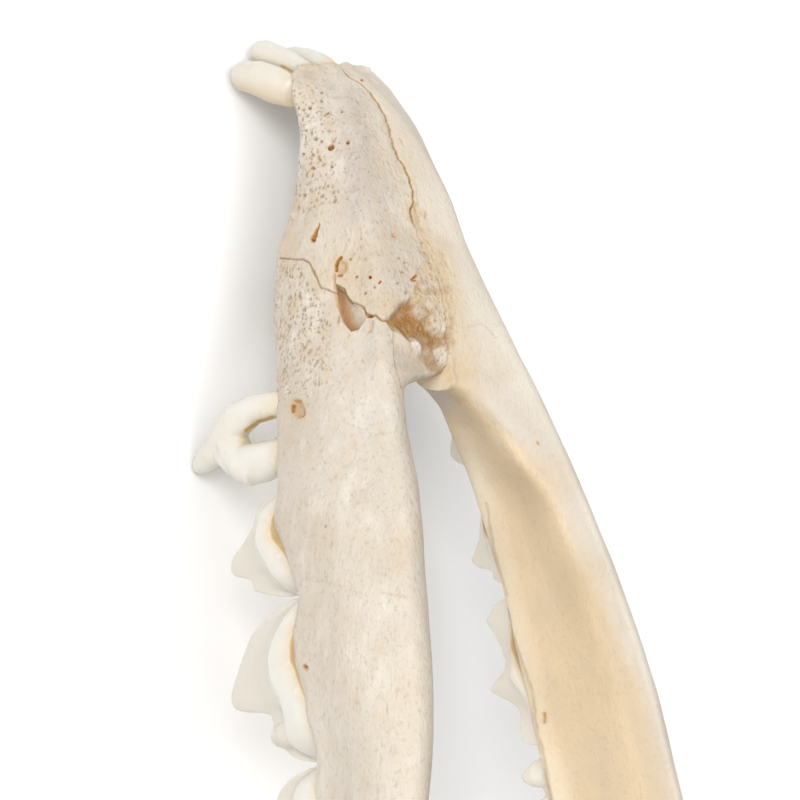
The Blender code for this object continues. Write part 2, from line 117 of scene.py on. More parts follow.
# The ramus, as level sections: (height, value)
RAMUS_FRONT = ((-10.2, 78), (-6, 74), (0, 73.8), (3, 75.2), (8, 77.8), (14, 81.2), (19, 84.4), (23, 87.6),
               (26, 91.2))
RAMUS_BACK = ((-10.2, 88), (-8, 95), (-4, 97.6), (0, 99.5), (3, 100.8), (5.5, 100.2), (8, 98.8),
              (12, 97.9), (17, 98.5), (21, 99.2), (24, 98.4), (26, 95.4))
RAMUS_HALF = ((-10.2, 1.4), (-4, 2.1), (2, 2.2), (8, 1.75), (16, 1.4), (22, 1.25), (26, 1.0))
RAMUS_LEVELS = 60
RAMUS_BOTTOM, RAMUS_TOP = -10.2, 26.0
FOSSA_CENTRE, FOSSA_REACH, FOSSA_DEPTH = (88.5, 3.0), (9.5, 11.0), 1.3

# Condyle and angular process: (x, s, z), half widths across and up
NECK = (((20.4, 92.0, -0.2), 1.6, 5.4), ((20.9, 96.5, 0.6), 2.0, 4.9), ((21.1, 100.0, 1.9), 2.7, 3.7),
        ((21.2, 103.4, 3.2), 4.6, 2.3))
CONDYLE_ENDS = (((16.0, 103.4, 3.3), 2.6), ((27.0, 104.9, 4.0), 2.1))
CONDYLE_BALLS = 12
CONDYLE_TAPER = 0.42
ANGLE = (((19.0, 84.0, -5.4), 1.9, 4.2), ((20.0, 92.0, -6.3), 1.9, 3.6), ((20.7, 98.0, -7.0), 1.7, 2.6),
         ((21.1, 102.6, -6.3), 1.3, 1.8), ((21.2, 106.2, -4.4), 0.8, 0.8))

# How far the inner side of the left half still reaches to the midline behind the symphysis, from 1 to 0,
# along its lower edge and half way up: (station, share)
LEFT_KEEL_FAN = ((29.5, 1.0), (31.5, 0.59), (33, 0.43), (36, 0.21), (40, 0.04), (42, 0.0))
LEFT_WALL_FAN = ((28.3, 1.0), (30.0, 0.78), (31.4, 0.5), (33, 0.33), (36, 0.17), (40, 0.02), (42, 0.0))
# How the outer rim of the sockets rises and falls between the roots: (station, height)
SOCKET_RIM = ((36, 0.0), (38.6, -0.2), (41.5, 0.85), (43.2, 0.5), (45, -0.1), (48, -0.55), (51, 0.2),
              (53.5, 0.5), (56, 0.1), (58.5, -0.4), (62, -0.5), (65, 0.3), (68, 0.1), (71, 0.0))

# Marks on the bones as the camera sees them. Each is a path in the picture's pixels, its half width in
# pixels, its depth in millimetres and its stain: up to 1 is orange-brown, and up to 2 darker.
RIGHT_MARKS = (
    (((332, 147), (330.5, 148)), 3.0, 0.7, 1.0), (((329.5, 147),), 1.15, 0.5, 1.45),
    (((333, 142), (336, 138)), 1.3, 0.2, 0.5), (((348, 143),), 1.7, 0.4, 1.6),
    (((319, 224), (317.5, 229)), 1.1, 0.3, 0.9), (((317, 229), (315.5, 233)), 1.7, 0.5, 1.0),
    (((315.5, 232), (313.8, 236)), 2.4, 0.4, 1.0), (((313.8, 236), (313, 239)), 3.0, 0.5, 1.0),
    (((311.5, 239),), 1.5, 0.3, 1.5),
    (((341, 266),), 8, 0.35, 0.25), (((341, 257), (337.5, 260), (335.6, 265), (336, 270)), 1.5, 0.5, 1.2),
    (((338.5, 275), (341, 275)), 1.8, 0.3, 1.0), (((340, 257.5),), 1.9, 0.4, 1.1),
    (((335.5, 264.5),), 1.2, 0.3, 1.6), (((344.5, 262), (345.5, 269)), 1.0, 0.1, 0.5),
    (((334, 274), (334.5, 289), (337, 306)), 1.3, 0.16, 0.45),
    (((368, 315.5), (371, 316)), 1.8, 0.4, 1.5), (((372, 322), (370, 331)), 2.2, 0.15, 0.3),
    (((338.5, 316), (338, 322)), 1.1, 0.15, 0.5),
    (((296.5, 405), (299, 412)), 7.0, 0.4, 0.4), (((292.0, 405), (292.6, 412)), 1.4, 0.12, 1.4),
    (((302.2, 412), (302.4, 416)), 1.7, 0.12, 1.3), (((294.5, 401), (300, 400.5)), 1.5, 0.04, 0.8),
    (((307, 668), (305, 666)), 1.6, 0.3, 1.5), (((283, 555),), 1, 0.2, 1.15),
    (((276, 522),), 0.9, 0.15, 1.15), (((281, 521),), 0.9, 0.15, 1.15),
    (((326, 526),), 0.9, 0.15, 1.15), (((321, 580),), 1, 0.1, 1.15),
    (((356.6, 276.5),), 1.3, 0.3, 1.4), (((369.8, 276.8),), 1.6, 0.4, 2),
    (((381, 281), (379, 283)), 1.0, 0.3, 1.5), (((417, 275), (413, 279), (416, 280)), 1.5, 0.3, 1.3),
    (((395, 235),), 3, 0.15, 0.5),
)
# Small pores of the right half: (x, y, half width), in pixels
RIGHT_PORES = (
    (374.5, 287, 1.4), (399.6, 257.5, 1.3), (405, 262, 1.3), (402.7, 271.5, 1.4), (398, 282.5, 1.4),
    (406.6, 292, 1.4), (350.5, 259, 1.3), (365, 293, 1.3), (310, 107, 1.8), (328, 113, 1.5),
    (322, 101, 1.3), (322, 92, 1.4), (342, 112, 1.2), (316, 139, 1.6), (322, 141, 1.2), (303, 154, 1.4),
    (313, 155, 1.6), (320, 160, 1.4), (312, 168, 1.6), (332, 167, 1.4), (328, 186, 1.3), (304, 195, 1.6),
    (306, 130, 1.5),
)
RIGHT_CRACKS = (
    (((280, 258.5), (288, 259), (303, 259), (308, 262), (312, 270), (317, 277), (319, 283), (321, 287),
      (327, 289), (335, 292)), 0.95, 0.15, 1.0),
    (((335.5, 283.5), (343.5, 288.7), (347, 295.7), (352, 302), (361, 306), (366, 312), (370, 316),
      (375, 315), (382, 318.5), (389, 320.5), (397, 324)), 1.1, 0.22, 1.2),
    (((389, 321), (394, 334), (394, 350), (397, 373), (402, 388)), 1.0, 0.1, 0.5),
)
RIGHT_LINES = (
    (((301, 580), (320, 581), (344, 586)), 1.3, 0.03, 0.28), (((346, 590), (367, 594)), 1.4, 0.03, 0.3),
    (((385, 592), (408, 597)), 1.3, 0.03, 0.28),
)
LEFT_MARKS = (
    (((362, 80),), 1.4, 0.3, 1.7), (((400, 139), (403.5, 146)), 1.1, 0.2, 0.5),
    (((412, 199), (415, 203), (419, 216)), 1.2, 0.15, 0.35), (((428, 212), (427, 217)), 1.8, 0.12, 0.2),
    (((538, 443),), 1.5, 0.2, 1.4), (((470, 326), (482, 322), (492, 330), (497, 337)), 2.0, 0.05, 0.12),
    (((544, 714), (544, 722)), 1.6, 0.15, 0.8),
)
LEFT_LINES = (
    (((487, 504), (494, 546), (501, 574), (507, 596)), 2.0, 0.08, 0.3),
    (((505, 604), (512, 636), (524, 671), (531, 692), (534, 723), (543, 758), (550, 800)), 2.4, 0.1, 0.35),
    (((448, 436), (464, 470), (480, 520)), 1.4, 0.04, 0.15),
)
# Soft tan patches, the same way
RIGHT_TAN = (
    (((287, 240), (286, 250)), 11.0, 0.0, 0.7), (((290, 268), (306, 268), (318, 280)), 13.0, 0.0, 0.6),
    (((345, 262), (352, 285), (372, 300), (388, 306)), 13.0, 0.0, 0.8), (((300, 408),), 15.0, 0.0, 0.5),
    (((355, 240), (368, 268)), 14.0, 0.0, 0.4),
)
LEFT_TAN = (
    (((436, 250), (450, 300), (462, 340), (466, 362)), 17.0, 0.0, 0.8),
    (((450, 375), (462, 392)), 12.0, 0.0, 0.9),
    (((482, 345), (500, 380)), 15.0, 0.0, 0.35),
)
# The tan band along the left half's inner wall, the same way: partly the bone's tan and partly painted shade
# of the hollow where the inner wall meets the lower edge
LEFT_TAN_AND_SHADE_BAND = (
    (((452, 370), (475, 410), (502, 470), (540, 515), (576, 595), (603, 650), (628, 700), (661, 790)),
     19.0, 0.10, 0.75),
)
# Foramina that the camera doesn't see, in the jaw's frame and in millimetres: the one on the inner side
# of the ramus, and those behind the left canine and under the left p3
RIGHT_HIDDEN = ((((17.3, 84.0, -2.2),), 1.7, 1.3, 0.6),)
LEFT_HIDDEN = RIGHT_HIDDEN + ((((7.4, 20.0, -4.0),), 0.9, 0.9, 0.8), (((11.6, 31.5, -2.0),), 0.9, 0.8, 0.8))
# Small knobs on the outer edge of the right half: (place, radius, height)
KNOBS = (((8.2, 13.8, -0.1), 0.55, 0.4), ((8.3, 12.6, 0.2), 0.4, 0.2))
# Bulges over the roots of the cheek teeth: (station, height)
ROOT_BULGES = ((40.5, 0.18), (45.2, 0.2), (51.0, 0.22), (58.8, 0.24), (64.5, 0.16), (68.0, 0.14))
# Scattered pores of the healed ridges: (cell size, seed, inner and outer edge, depth, share of cells)
RIDGE_PORES = ((0.62, 41, 0.10, 0.32, 0.19, 0.55), (0.36, 51, 0.12, 0.42, 0.08, 0.75))
# Scattered pores of the spongy end of the symphysis: (cell size, seed, depth)
SPONGE_PORES = ((0.6, 81, 0.2), (0.34, 91, 0.14))

# The seam between the halves, as the midline's shift towards the right half: (station, shift)
SEAM = ((-3, 1.3), (1.8, 1.25), (2.5, 0.45), (3.8, 0.1), (5.3, -0.12), (6.8, -0.1), (8.3, 0.22), (10, 0.3),
        (11, -0.05), (12.2, -0.15), (13.5, -0.1), (14.4, 0.2), (15.6, 0.9), (17.4, 0.6), (19, 0.35),
        (21, -0.2), (24, -0.4), (27, -0.3), (30, -0.2), (34, 0.0))

# Areas as the camera sees them, as outlines in the picture's pixels: the smooth plate of the chin, the
# porous ridges where teeth were lost, the hollow below the chin, and the rough, spongy end of the symphysis
PLATEAU = ((338, 82), (362, 86), (380, 112), (389, 142), (402, 168), (408, 198), (407, 217), (414, 232),
           (422, 246), (424, 258), (420, 276), (415, 288), (408, 298), (399, 312), (389, 319), (375, 314),
           (361, 305), (348, 296), (336, 282), (347, 262), (334, 240), (330, 205), (330, 160), (334, 120))
RIDGES = (((268, 264), (296, 266), (316, 290), (326, 320), (328, 370), (322, 392), (268, 402)),
          ((285, 80), (318, 88), (332, 104), (337, 135), (332, 168), (330, 196), (312, 208), (285, 214)))
POCKET = ((334.5, 284), (344, 290), (348, 297), (353, 303), (361, 307), (366, 312), (365, 320), (358, 329),
          (351, 331), (343, 322), (338, 309))
POCKET_RIM = ((334.5, 284), (335, 296), (338, 309), (343, 322), (351, 331))
SPONGE = ((405, 205), (407, 217), (414, 232), (422, 246), (424, 258), (420, 276), (415, 288), (408, 298),
          (400, 310), (389, 319), (402, 331), (416, 340), (424, 352), (428, 370), (436, 384), (444, 376),
          (450, 356), (458, 340), (461, 318), (456, 290), (449, 266), (440, 248), (432, 232), (424, 214),
          (416, 200))
ROUGH = ((380, 190), (380, 400), (440, 400), (450, 376), (457, 356), (466, 340), (468, 318), (462, 288),
         (455, 264), (446, 244), (437, 228), (429, 210), (420, 190))
STEP = ((389, 320), (394, 334), (394, 350), (397, 373), (403, 400), (446, 400), (445, 380), (440, 366),
        (435, 352), (427, 345), (414, 338), (404, 330))
CAVITY = ((389, 318), (397, 311), (402, 302), (412, 298), (417, 303), (411, 309), (420, 315), (429, 319),
          (434, 330), (444, 332), (451, 336), (445, 344), (434, 347), (428, 349), (416, 338), (402, 330))
STEP_END = ((404, 330), (414, 338), (427, 345), (435, 352), (440, 366), (445, 380), (446, 400))
SPONGE_WHITE = (
    (((417, 342), (423, 347)), 5.0, 0.0, 0.6), (((438, 325), (443, 331)), 4.5, 0.0, 0.5),
    (((440, 351), (445, 361)), 5.5, 0.0, 0.55), (((430, 374), (435, 379)), 5.0, 0.0, 0.5),
)
CHANNEL = ((427, 345), (438, 345), (437, 356), (443, 367), (441, 375), (434, 370), (428, 358))


def between(knots, at):
    """The value of a profile at a station, on a smooth curve through its knots."""
    if at <= knots[0][0]:
        return knots[0][1]
    if at >= knots[-1][0]:
        return knots[-1][1]
    i = next(n for n in range(len(knots) - 1) if at <= knots[n + 1][0])
    (s0, v0), (s1, v1) = knots[i], knots[i + 1]

    def slope(n):
        before, after = knots[max(n - 1, 0)], knots[min(n + 1, len(knots) - 1)]
        return (after[1] - before[1]) / (after[0] - before[0])

    span = s1 - s0
    t = (at - s0) / span
    return ((2 * t**3 - 3 * t**2 + 1) * v0 + (t**3 - 2 * t**2 + t) * span * slope(i)
            + (3 * t**2 - 2 * t**3) * v1 + (t**3 - t**2) * span * slope(i + 1))


def along(knots, at):
    """The profile's values at an array of stations, in straight lines between its knots."""
    stations, values = zip(*knots)
    return np.interp(at, stations, values)


def blend(low, high, at):
    """0 below low, 1 above high, and smooth between, for numbers and arrays."""
    t = np.clip((at - low) / (high - low), 0.0, 1.0)
    return t * t * (3 - 2 * t)


def point(x, s, z):
    return Vector((x, -s, z)) * MM


def closed_curve(corners, count):
    """count points spread along a smooth closed curve through the corners."""
    total = len(corners)
    points = []
    for n in range(count):
        place = n * total / count
        i = int(place)
        t = place - i
        a, b, c, d = (corners[(i + k) % total] for k in (-1, 0, 1, 2))
        points.append(tuple(
            b[k] + 0.5 * t * (c[k] - a[k] + t * (2 * a[k] - 5 * b[k] + 4 * c[k] - d[k])
                              + t * t * (3 * b[k] - a[k] - 3 * c[k] + d[k]))
            for k in range(2)))
    return points


def as_object(bm, name):
    """A mesh object of a finished bmesh, which is freed."""
    mesh = bpy.data.meshes.new(name)
    bm.to_mesh(mesh)
    bm.free()
    obj = bpy.data.objects.new(name, mesh)
    bpy.context.scene.collection.objects.link(obj)
    return obj


def loft(name, rings):
    """A closed mesh object through rings of points, capped at both ends."""
    bm = bmesh.new()
    rows = [[bm.verts.new(p) for p in ring] for ring in rings]
    sides = len(rows[0])
    for low, high in zip(rows, rows[1:]):
        for n in range(sides):
            bm.faces.new((low[n], low[(n + 1) % sides], high[(n + 1) % sides], high[n]))
    for row in (rows[0], rows[-1]):
        centre = bm.verts.new(sum((v.co for v in row), Vector()) / sides)
        for n in range(sides):
            bm.faces.new((row[n], row[(n + 1) % sides], centre))
    bmesh.ops.recalc_face_normals(bm, faces=bm.faces)
    return as_object(bm, name)


def tube(name, path, sides=24):
    """A loft along path, whose points are (centre, half width across x, half width in the s-z plane)."""
    centres = [point(*centre) for centre, _, _ in path]
    rings = []
    for i, (_, across, up) in enumerate(path):
        heading = (centres[min(i + 1, len(path) - 1)] - centres[max(i - 1, 0)]).normalized()
        side = Vector((1, 0, 0))
        normal = heading.cross(side).normalized()
        rings.append([centres[i] + side * across * MM * math.cos(a) + normal * up * MM * math.sin(a)
                      for a in (2 * math.pi * n / sides for n in range(sides))])
    return loft(name, rings)


def condyle():
    """The roller of the jaw joint, as a row of overlapping balls that get smaller outwards."""
    (inner, wide), (outer, narrow) = CONDYLE_ENDS
    balls = []
    for n in range(CONDYLE_BALLS):
        share = n / (CONDYLE_BALLS - 1)
        centre = Vector(point(*inner)).lerp(Vector(point(*outer)), share)
        radius = (wide + (narrow - wide) * share) * (1 - CONDYLE_TAPER * abs(2 * share - 1) ** 3) * MM
        bm = bmesh.new()
        bmesh.ops.create_uvsphere(bm, u_segments=32, v_segments=20, radius=radius,
                                  matrix=Matrix.Translation(centre))
        balls.append(as_object(bm, "condyle"))
    return balls


def body_section(s, left):
    """The outline of the body of the jaw at a station, as (x, z) points, for the right half."""
    crest = between(CREST_Z, s)
    lateral = between(LATERAL_X, s)
    medial = between(MEDIAL_X, s)
    keel_x, keel_z, half = between(KEEL_X, s), between(KEEL_Z, s), between(KEEL_HALF, s)
    if left:
        lost = between(LEFT_FRONT_WIDTH_LOST, s)
        lateral -= lost
        keel_x -= 0.6 * lost
        crest -= between(LEFT_FRONT_HEIGHT_LOST, s)
    outer_crest = crest - between(LATERAL_DROP, s)
    height = crest - keel_z
    free = float(blend(SYMPHYSIS_END - 0.8, SYMPHYSIS_END + 2.2, s))
    keel_free = 1 - between(LEFT_KEEL_FAN, s) if left else free
    wall_free = 1 - between(LEFT_WALL_FAN, s) if left else free
    inner_keel = (1 - keel_free) * -2.5 + keel_free * (keel_x - half)
    inner_wall = (1 - wall_free) * -2.5 + wall_free * ((medial + keel_x - half) / 2 - MEDIAL_BULGE)
    wall_z = (1 - wall_free) * between(TROUGH_Z, s) + wall_free * (crest - 0.5 * height)
    top_round = min(0.9, 0.25 * height)
    return [
        ((lateral + medial) / 2, (crest + outer_crest) / 2),
        (lateral - 0.25, outer_crest - 0.45 * top_round),
        (lateral + 0.15, outer_crest - 0.28 * height),
        ((lateral + keel_x + half) / 2 + LATERAL_BULGE, outer_crest - 0.56 * height),
        (keel_x + 0.86 * half, keel_z + 0.16 * height),
        (keel_x, keel_z),
        (inner_keel, keel_z + (1 - free) * between(MIDLINE_RISE, s) + free * 0.12 * height),
        (inner_wall, wall_z),
        (medial + 0.1, crest - 0.9 * top_round),
    ]


def body(left):
    rings = []
    for n in range(int(BODY_END / STATION_STEP) + 1):
        s = n * STATION_STEP
        section = closed_curve(body_section(s, left), RING_SIDES)
        rings.append([point(x, s, z) for x, z in section])
    return loft("body", rings)


def ramus():
    """The upright plate with the coronoid process, as a stack of level sections."""
    rings = []
    for n in range(RAMUS_LEVELS):
        z = RAMUS_BOTTOM + (RAMUS_TOP - RAMUS_BOTTOM) * n / (RAMUS_LEVELS - 1)
        front, back = between(RAMUS_FRONT, z), between(RAMUS_BACK, z)
        half = between(RAMUS_HALF, z)
        ring = []
        for k in range(RING_SIDES):
            angle = 2 * math.pi * k / RING_SIDES
            s = (front + back) / 2 - (back - front) / 2 * math.cos(angle)
            bulk = math.copysign(abs(math.sin(angle)) ** 0.6, math.sin(angle))
            crest = 1 + 0.35 * blend(front + 7, front + 1, s) if bulk > 0 else 1.0
            middle = 19.7 + 0.2 * (s - 88) + 0.095 * (z + 5)
            x = middle + half * bulk * crest
            away = math.hypot((s - FOSSA_CENTRE[0]) / FOSSA_REACH[0], (z - FOSSA_CENTRE[1]) / FOSSA_REACH[1])
            if bulk > 0:
                x -= FOSSA_DEPTH * (1 - blend(0.35, 1.0, away))
            ring.append(point(x, s, z))
        rings.append(ring)
    return loft("ramus", rings)


HASH = (374761393, 668265263, 1442695041)


def chance(cells, seed):
    """A fixed number from 0 to 1 for each whole-numbered cell."""
    h = cells @ np.array(HASH) + seed * 974634777
    h &= 0xFFFFFFFF
    h = ((h ^ (h >> 15)) * 2246822519) & 0xFFFFFFFF
    h = ((h ^ (h >> 13)) * 3266489917) & 0xFFFFFFFF
    return (h ^ (h >> 16)) / 2.0**32


def noise(places, size, seed):
    """Smooth noise from -1 to 1 with lumps of a size, at an array of places."""
    scaled = places / size
    low = np.floor(scaled).astype(np.int64)
    part = scaled - low
    part = part * part * (3 - 2 * part)
    total = np.zeros(len(places))
    for corner in itertools.product((0, 1), repeat=3):
        weight = np.ones(len(places))
        for axis, side in enumerate(corner):
            weight *= part[:, axis] if side else 1 - part[:, axis]
        total += weight * chance(low + np.array(corner), seed)
    return 2 * total - 1


def rough(places, size, seed, octaves=3):
    total, share = np.zeros(len(places)), 1.0
    for n in range(octaves):
        total += share * noise(places, size / 2**n, seed + n)
        share *= 0.5
    return total / (2 - 2 * share)


def pores(places, size, seed):
    """For each place, how far the nearest of many scattered pores is, in cell sizes, and its own number."""
    scaled = places / size
    cell = np.floor(scaled).astype(np.int64)
    nearest = np.full(len(places), 9.0)
    number = np.zeros(len(places))
    for step in itertools.product((-1, 0, 1), repeat=3):
        other = cell + np.array(step)
        centre = other + np.stack([0.1 + 0.8 * chance(other, seed + k) for k in range(3)], 1)
        away = np.sqrt(((scaled - centre) ** 2).sum(1))
        closer = away < nearest
        nearest[closer] = away[closer]
        number[closer] = chance(other[closer], seed + 7)
    return nearest, number


def distance_to_path(places, path):
    """How far each place is from a path of points."""
    path = np.array(path, float)
    if len(path) == 1:
        return np.sqrt(((places - path[0]) ** 2).sum(1))
    best = np.full(len(places), 1e9)
    for start, end in zip(path, path[1:]):
        span = end - start
        t = np.clip(((places - start) @ span) / (span @ span), 0, 1)
        best = np.minimum(best, np.sqrt(((places - start - t[:, None] * span) ** 2).sum(1)))
    return best


def inside(places, outline):
    """How far each place lies inside an outline seen from below, in millimetres, and negative outside it."""
    xs = places[:, :2]
    corners = np.array(outline, float)
    best = np.full(len(places), 1e9)
    within = np.zeros(len(places), bool)
    for a, b in zip(corners, np.roll(corners, -1, 0)):
        span = b - a
        t = np.clip(((xs - a) @ span) / (span @ span), 0, 1)
        best = np.minimum(best, np.sqrt(((xs - a - t[:, None] * span) ** 2).sum(1)))
        crosses = (a[1] > xs[:, 1]) != (b[1] > xs[:, 1])
        with np.errstate(divide="ignore", invalid="ignore"):
            at = a[0] + (xs[:, 1] - a[1]) * (b[0] - a[0]) / (b[1] - a[1])
        within ^= crosses & (xs[:, 0] < at)
    return np.where(within, best, -best)


def joined(objects, name):
    """One object of several closed shells."""
    bm = bmesh.new()
    for obj in objects:
        bm.from_mesh(obj.data)
        bpy.data.objects.remove(obj)
    return as_object(bm, name)


def apply_modifiers(obj):
    graph = bpy.context.evaluated_depsgraph_get()
    mesh = bpy.data.meshes.new_from_object(obj.evaluated_get(graph))
    obj.modifiers.clear()
    obj.data = mesh


def melted(obj, voxel, steps):
    """Fuses overlapping shells into one even skin."""
    remesh = obj.modifiers.new("fuse", "REMESH")
    remesh.mode = "VOXEL"
    remesh.voxel_size = voxel * MM
    smooth = obj.modifiers.new("soften", "SMOOTH")
    smooth.factor = 0.5
    smooth.iterations = steps
    apply_modifiers(obj)
    return obj


def places_of(mesh):
    """The mesh's points in the jaw's frame, in millimetres."""
    flat = np.empty(len(mesh.vertices) * 3)
    mesh.vertices.foreach_get("co", flat)
    places = flat.reshape(-1, 3) / MM
    places[:, 1] *= -1
    return places


def put_places(mesh, places):
    out = places * MM
    out[:, 1] *= -1
    mesh.vertices.foreach_set("co", out.ravel())
    mesh.update()


def normals_of(mesh):
    flat = np.empty(len(mesh.vertices) * 3, np.float32)
    mesh.vertex_normals.foreach_get("vector", flat)
    normals = flat.reshape(-1, 3).astype(float)
    normals[:, 1] *= -1
    return normals


def shaded(mesh, **layers):
    """Keeps a number for each point of the mesh, for its material to read."""
    for name, values in layers.items():
        layer = mesh.attributes.new(name, "FLOAT", "POINT")
        layer.data.foreach_set("value", np.asarray(values, np.float32))
    mesh.shade_smooth()


def seam_shift(stations):
    """Where the wavy seam runs, in millimetres to the right of the midline."""
    shift = np.array([between(SEAM, s) for s in stations])
    return shift + 0.06 * np.sin(5.1 * stations) + 0.04 * np.sin(11.7 * stations + 1)


SEAM_STATIONS = np.arange(-6, 38.1, 0.25)
SEAM_SHIFT = seam_shift(SEAM_STATIONS)


def seam_cutter(left):
    """A block that ends at the wavy seam, on the far side of the midline."""
    rings = []
    for s, wave in zip(SEAM_STATIONS, SEAM_SHIFT):
        edge = (-wave if left else wave) + SEAM_HALF
        rings.append([point(x, s, z) for x, z in ((edge, 8), (edge, -14), (edge - 16, -14), (edge - 16, 8))])
    return loft("seam", rings)


def cut(obj, cutter):
    modifier = obj.modifiers.new("cut", "BOOLEAN")
    modifier.operation = "DIFFERENCE"
    modifier.solver = "MANIFOLD"
    modifier.object = cutter
    bpy.context.view_layer.update()
    apply_modifiers(obj)
    bpy.data.objects.remove(cutter)


def refine_front(obj):
    """Halves the mesh size in the front part of the bone."""
    bm = bmesh.new()
    bm.from_mesh(obj.data)
    edges = [e for e in bm.edges if all(-v.co.y < FINE_END * MM for v in e.verts)]
    bmesh.ops.subdivide_edges(bm, edges=edges, cuts=1, use_grid_fill=True)
    bmesh.ops.triangulate(bm, faces=[f for f in bm.faces if len(f.verts) > 4])
    bm.to_mesh(obj.data)
    bm.free()


def marks_on(places, marks, jitter):
    """The depth and the stain of pits and grooves at each place."""
    depth, stain = np.zeros(len(places)), np.zeros(len(places))
    for path, half, deep, colour in marks:
        corners = np.array(path, float)
        margin = 3 * half + 0.3
        near = np.all((places > corners.min(0) - margin) & (places < corners.max(0) + margin), 1)
        if not near.any():
            continue
        away = distance_to_path(places[near], path) / half
        away = away * (1 + (0.25 if half < 4 else 0.08) * jitter[near])
        depth[near] = np.maximum(depth[near], deep * (1 - blend(0.25, 1.05, away)))
        stain[near] = np.maximum(stain[near], colour * (1 - blend(0.5, 1.35, away)))
    return depth, stain


def on_picture(places):
    """Where each place is in the camera's picture, in pixels."""
    turn = np.array(REST.to_3x3())
    away = (places * np.array((1, -1, 1)) * MM) @ turn.T + np.array(REST.translation) - np.array(EYE)
    depth = away @ np.array(VIEW)
    return np.stack([PICTURE / 2 + FOCAL * (away @ np.array(ACROSS)) / depth,
                     PICTURE / 2 - FOCAL * (away @ np.array(UP)) / depth], 1)


def shaken(spots, places, amount, size, seed):
    """The picture places moved about by up to an amount, in lumps of a size."""
    return spots + amount * np.stack([noise(places, size, seed + k) for k in range(2)], 1)


def facing(normals):
    """Which surfaces the camera looks onto."""
    turned = (normals * np.array((1, -1, 1))) @ np.array(REST.to_3x3()).T
    return turned @ np.array(VIEW) < -0.05


def reach_in(spots, outline):
    """How far each picture place lies inside an outline, in millimetres, and negative outside it."""
    return inside(spots, outline) / PIXELS


def underside(places):
    """The height of the jaw's underside beneath each place near the symphysis, and 99 elsewhere."""
    step = 0.25
    cell = np.floor(places[:, :2] / step).astype(int) + np.array((40, 20))
    grid = np.full((120, 190), 99.0)
    known = np.all((cell >= 0) & (cell < grid.shape), 1)
    np.minimum.at(grid, tuple(cell[known].T), places[known, 2])
    out = np.full(len(places), 99.0)
    out[known] = grid[tuple(cell[known].T)]
    return out


def swells(real, left):
    """The slow swells of the surface, and its finer unevenness."""
    out = 0.13 * noise(real, 7.0, 11) + 0.05 * noise(real, 3.0, 12)
    out += (0.012 if left else 0.02) * rough(real, 1.1, 13, 2)
    out += (0.008 if left else 0.014) * noise(real / np.array((1.0, 5.0, 1.0)), 0.5, 15)
    return out


def healed_ridges(real, seen, jitter):
    """Where front teeth were lost: how porous the bone is, how deep its pores are, and how dark."""
    porous, deep, dark = np.zeros((3, len(real)))
    for ridge in RIDGES:
        porous = np.maximum(porous, blend(-0.9, 0.6, reach_in(seen, ridge) + 0.3 * noise(real, 1.6, 43)))
    some = porous > 0.02
    dense = 0.5 + 0.5 * noise(real[some], 1.8, 42)
    for size, seed, low, high, depth, share in RIDGE_PORES:
        away, number = pores(real[some] * np.array((1.0, 0.75, 1.0)), size, seed)
        keep = number < share * porous[some] * (0.5 + dense)
        hole = np.where(keep, 1 - blend(low, high, away * (1 + 0.4 * jitter[some])), 0)
        dark[some] = np.maximum(dark[some], (0.55 + 0.45 * number) * hole)
        deep[some] += depth * hole
    return porous, deep - 0.045 * porous * rough(real, 0.8, 61, 2), dark


def chin(real, seen, spots):
    """How deep the hollow below the chin is, how dark it is, and the smooth plate over its border."""
    from_rim = distance_to_path(seen, POCKET_RIM) / PIXELS
    hollow = blend(-0.03, 0.1, reach_in(seen, POCKET)) * (1 - blend(0.2, 2.4, from_rim))
    plate = blend(-0.6, 2.6, reach_in(seen, PLATEAU) + 0.1 * noise(real, 0.9, 44))
    deep = 0.85 * hollow - 0.05 * plate
    hollow *= 1 - 0.7 * blend(0.3, 1.5, from_rim)
    # The plate's darker tone fades out towards the seam: painted light where the plate turns into shade
    return deep, hollow, plate * (1 - 0.6 * blend(354, 382, spots[:, 0]))


def rear_bone(real):
    """The unevenness of the rear with its muscle scars, its small foramina, and how tan it is."""
    s, z = real[:, 1], real[:, 2]
    rear = blend(68, 78, s)
    scar = blend(80, 88, s) * blend(-2.0, -5.0, z) + 0.6 * rear * blend(12.0, 20.0, z)
    out = 0.13 * scar * rough(real * np.array((1.0, 0.45, 1.0)), 1.3, 115, 3)
    out += 0.07 * rear * rough(real, 2.4, 113, 3)
    away, number = pores(real, 3.2, 121)
    hole = rear * (1 - blend(0.05, 0.12, away)) * (number < 0.6) * blend(103.5, 101.5, s)
    tan = rear * (0.15 + 0.5 * rough(real, 5.0, 107, 3))
    tan += 0.3 * scar * blend(-0.2, 0.4, rough(real, 1.6, 108, 3))
    return rear, out - 0.2 * hole, hole, tan


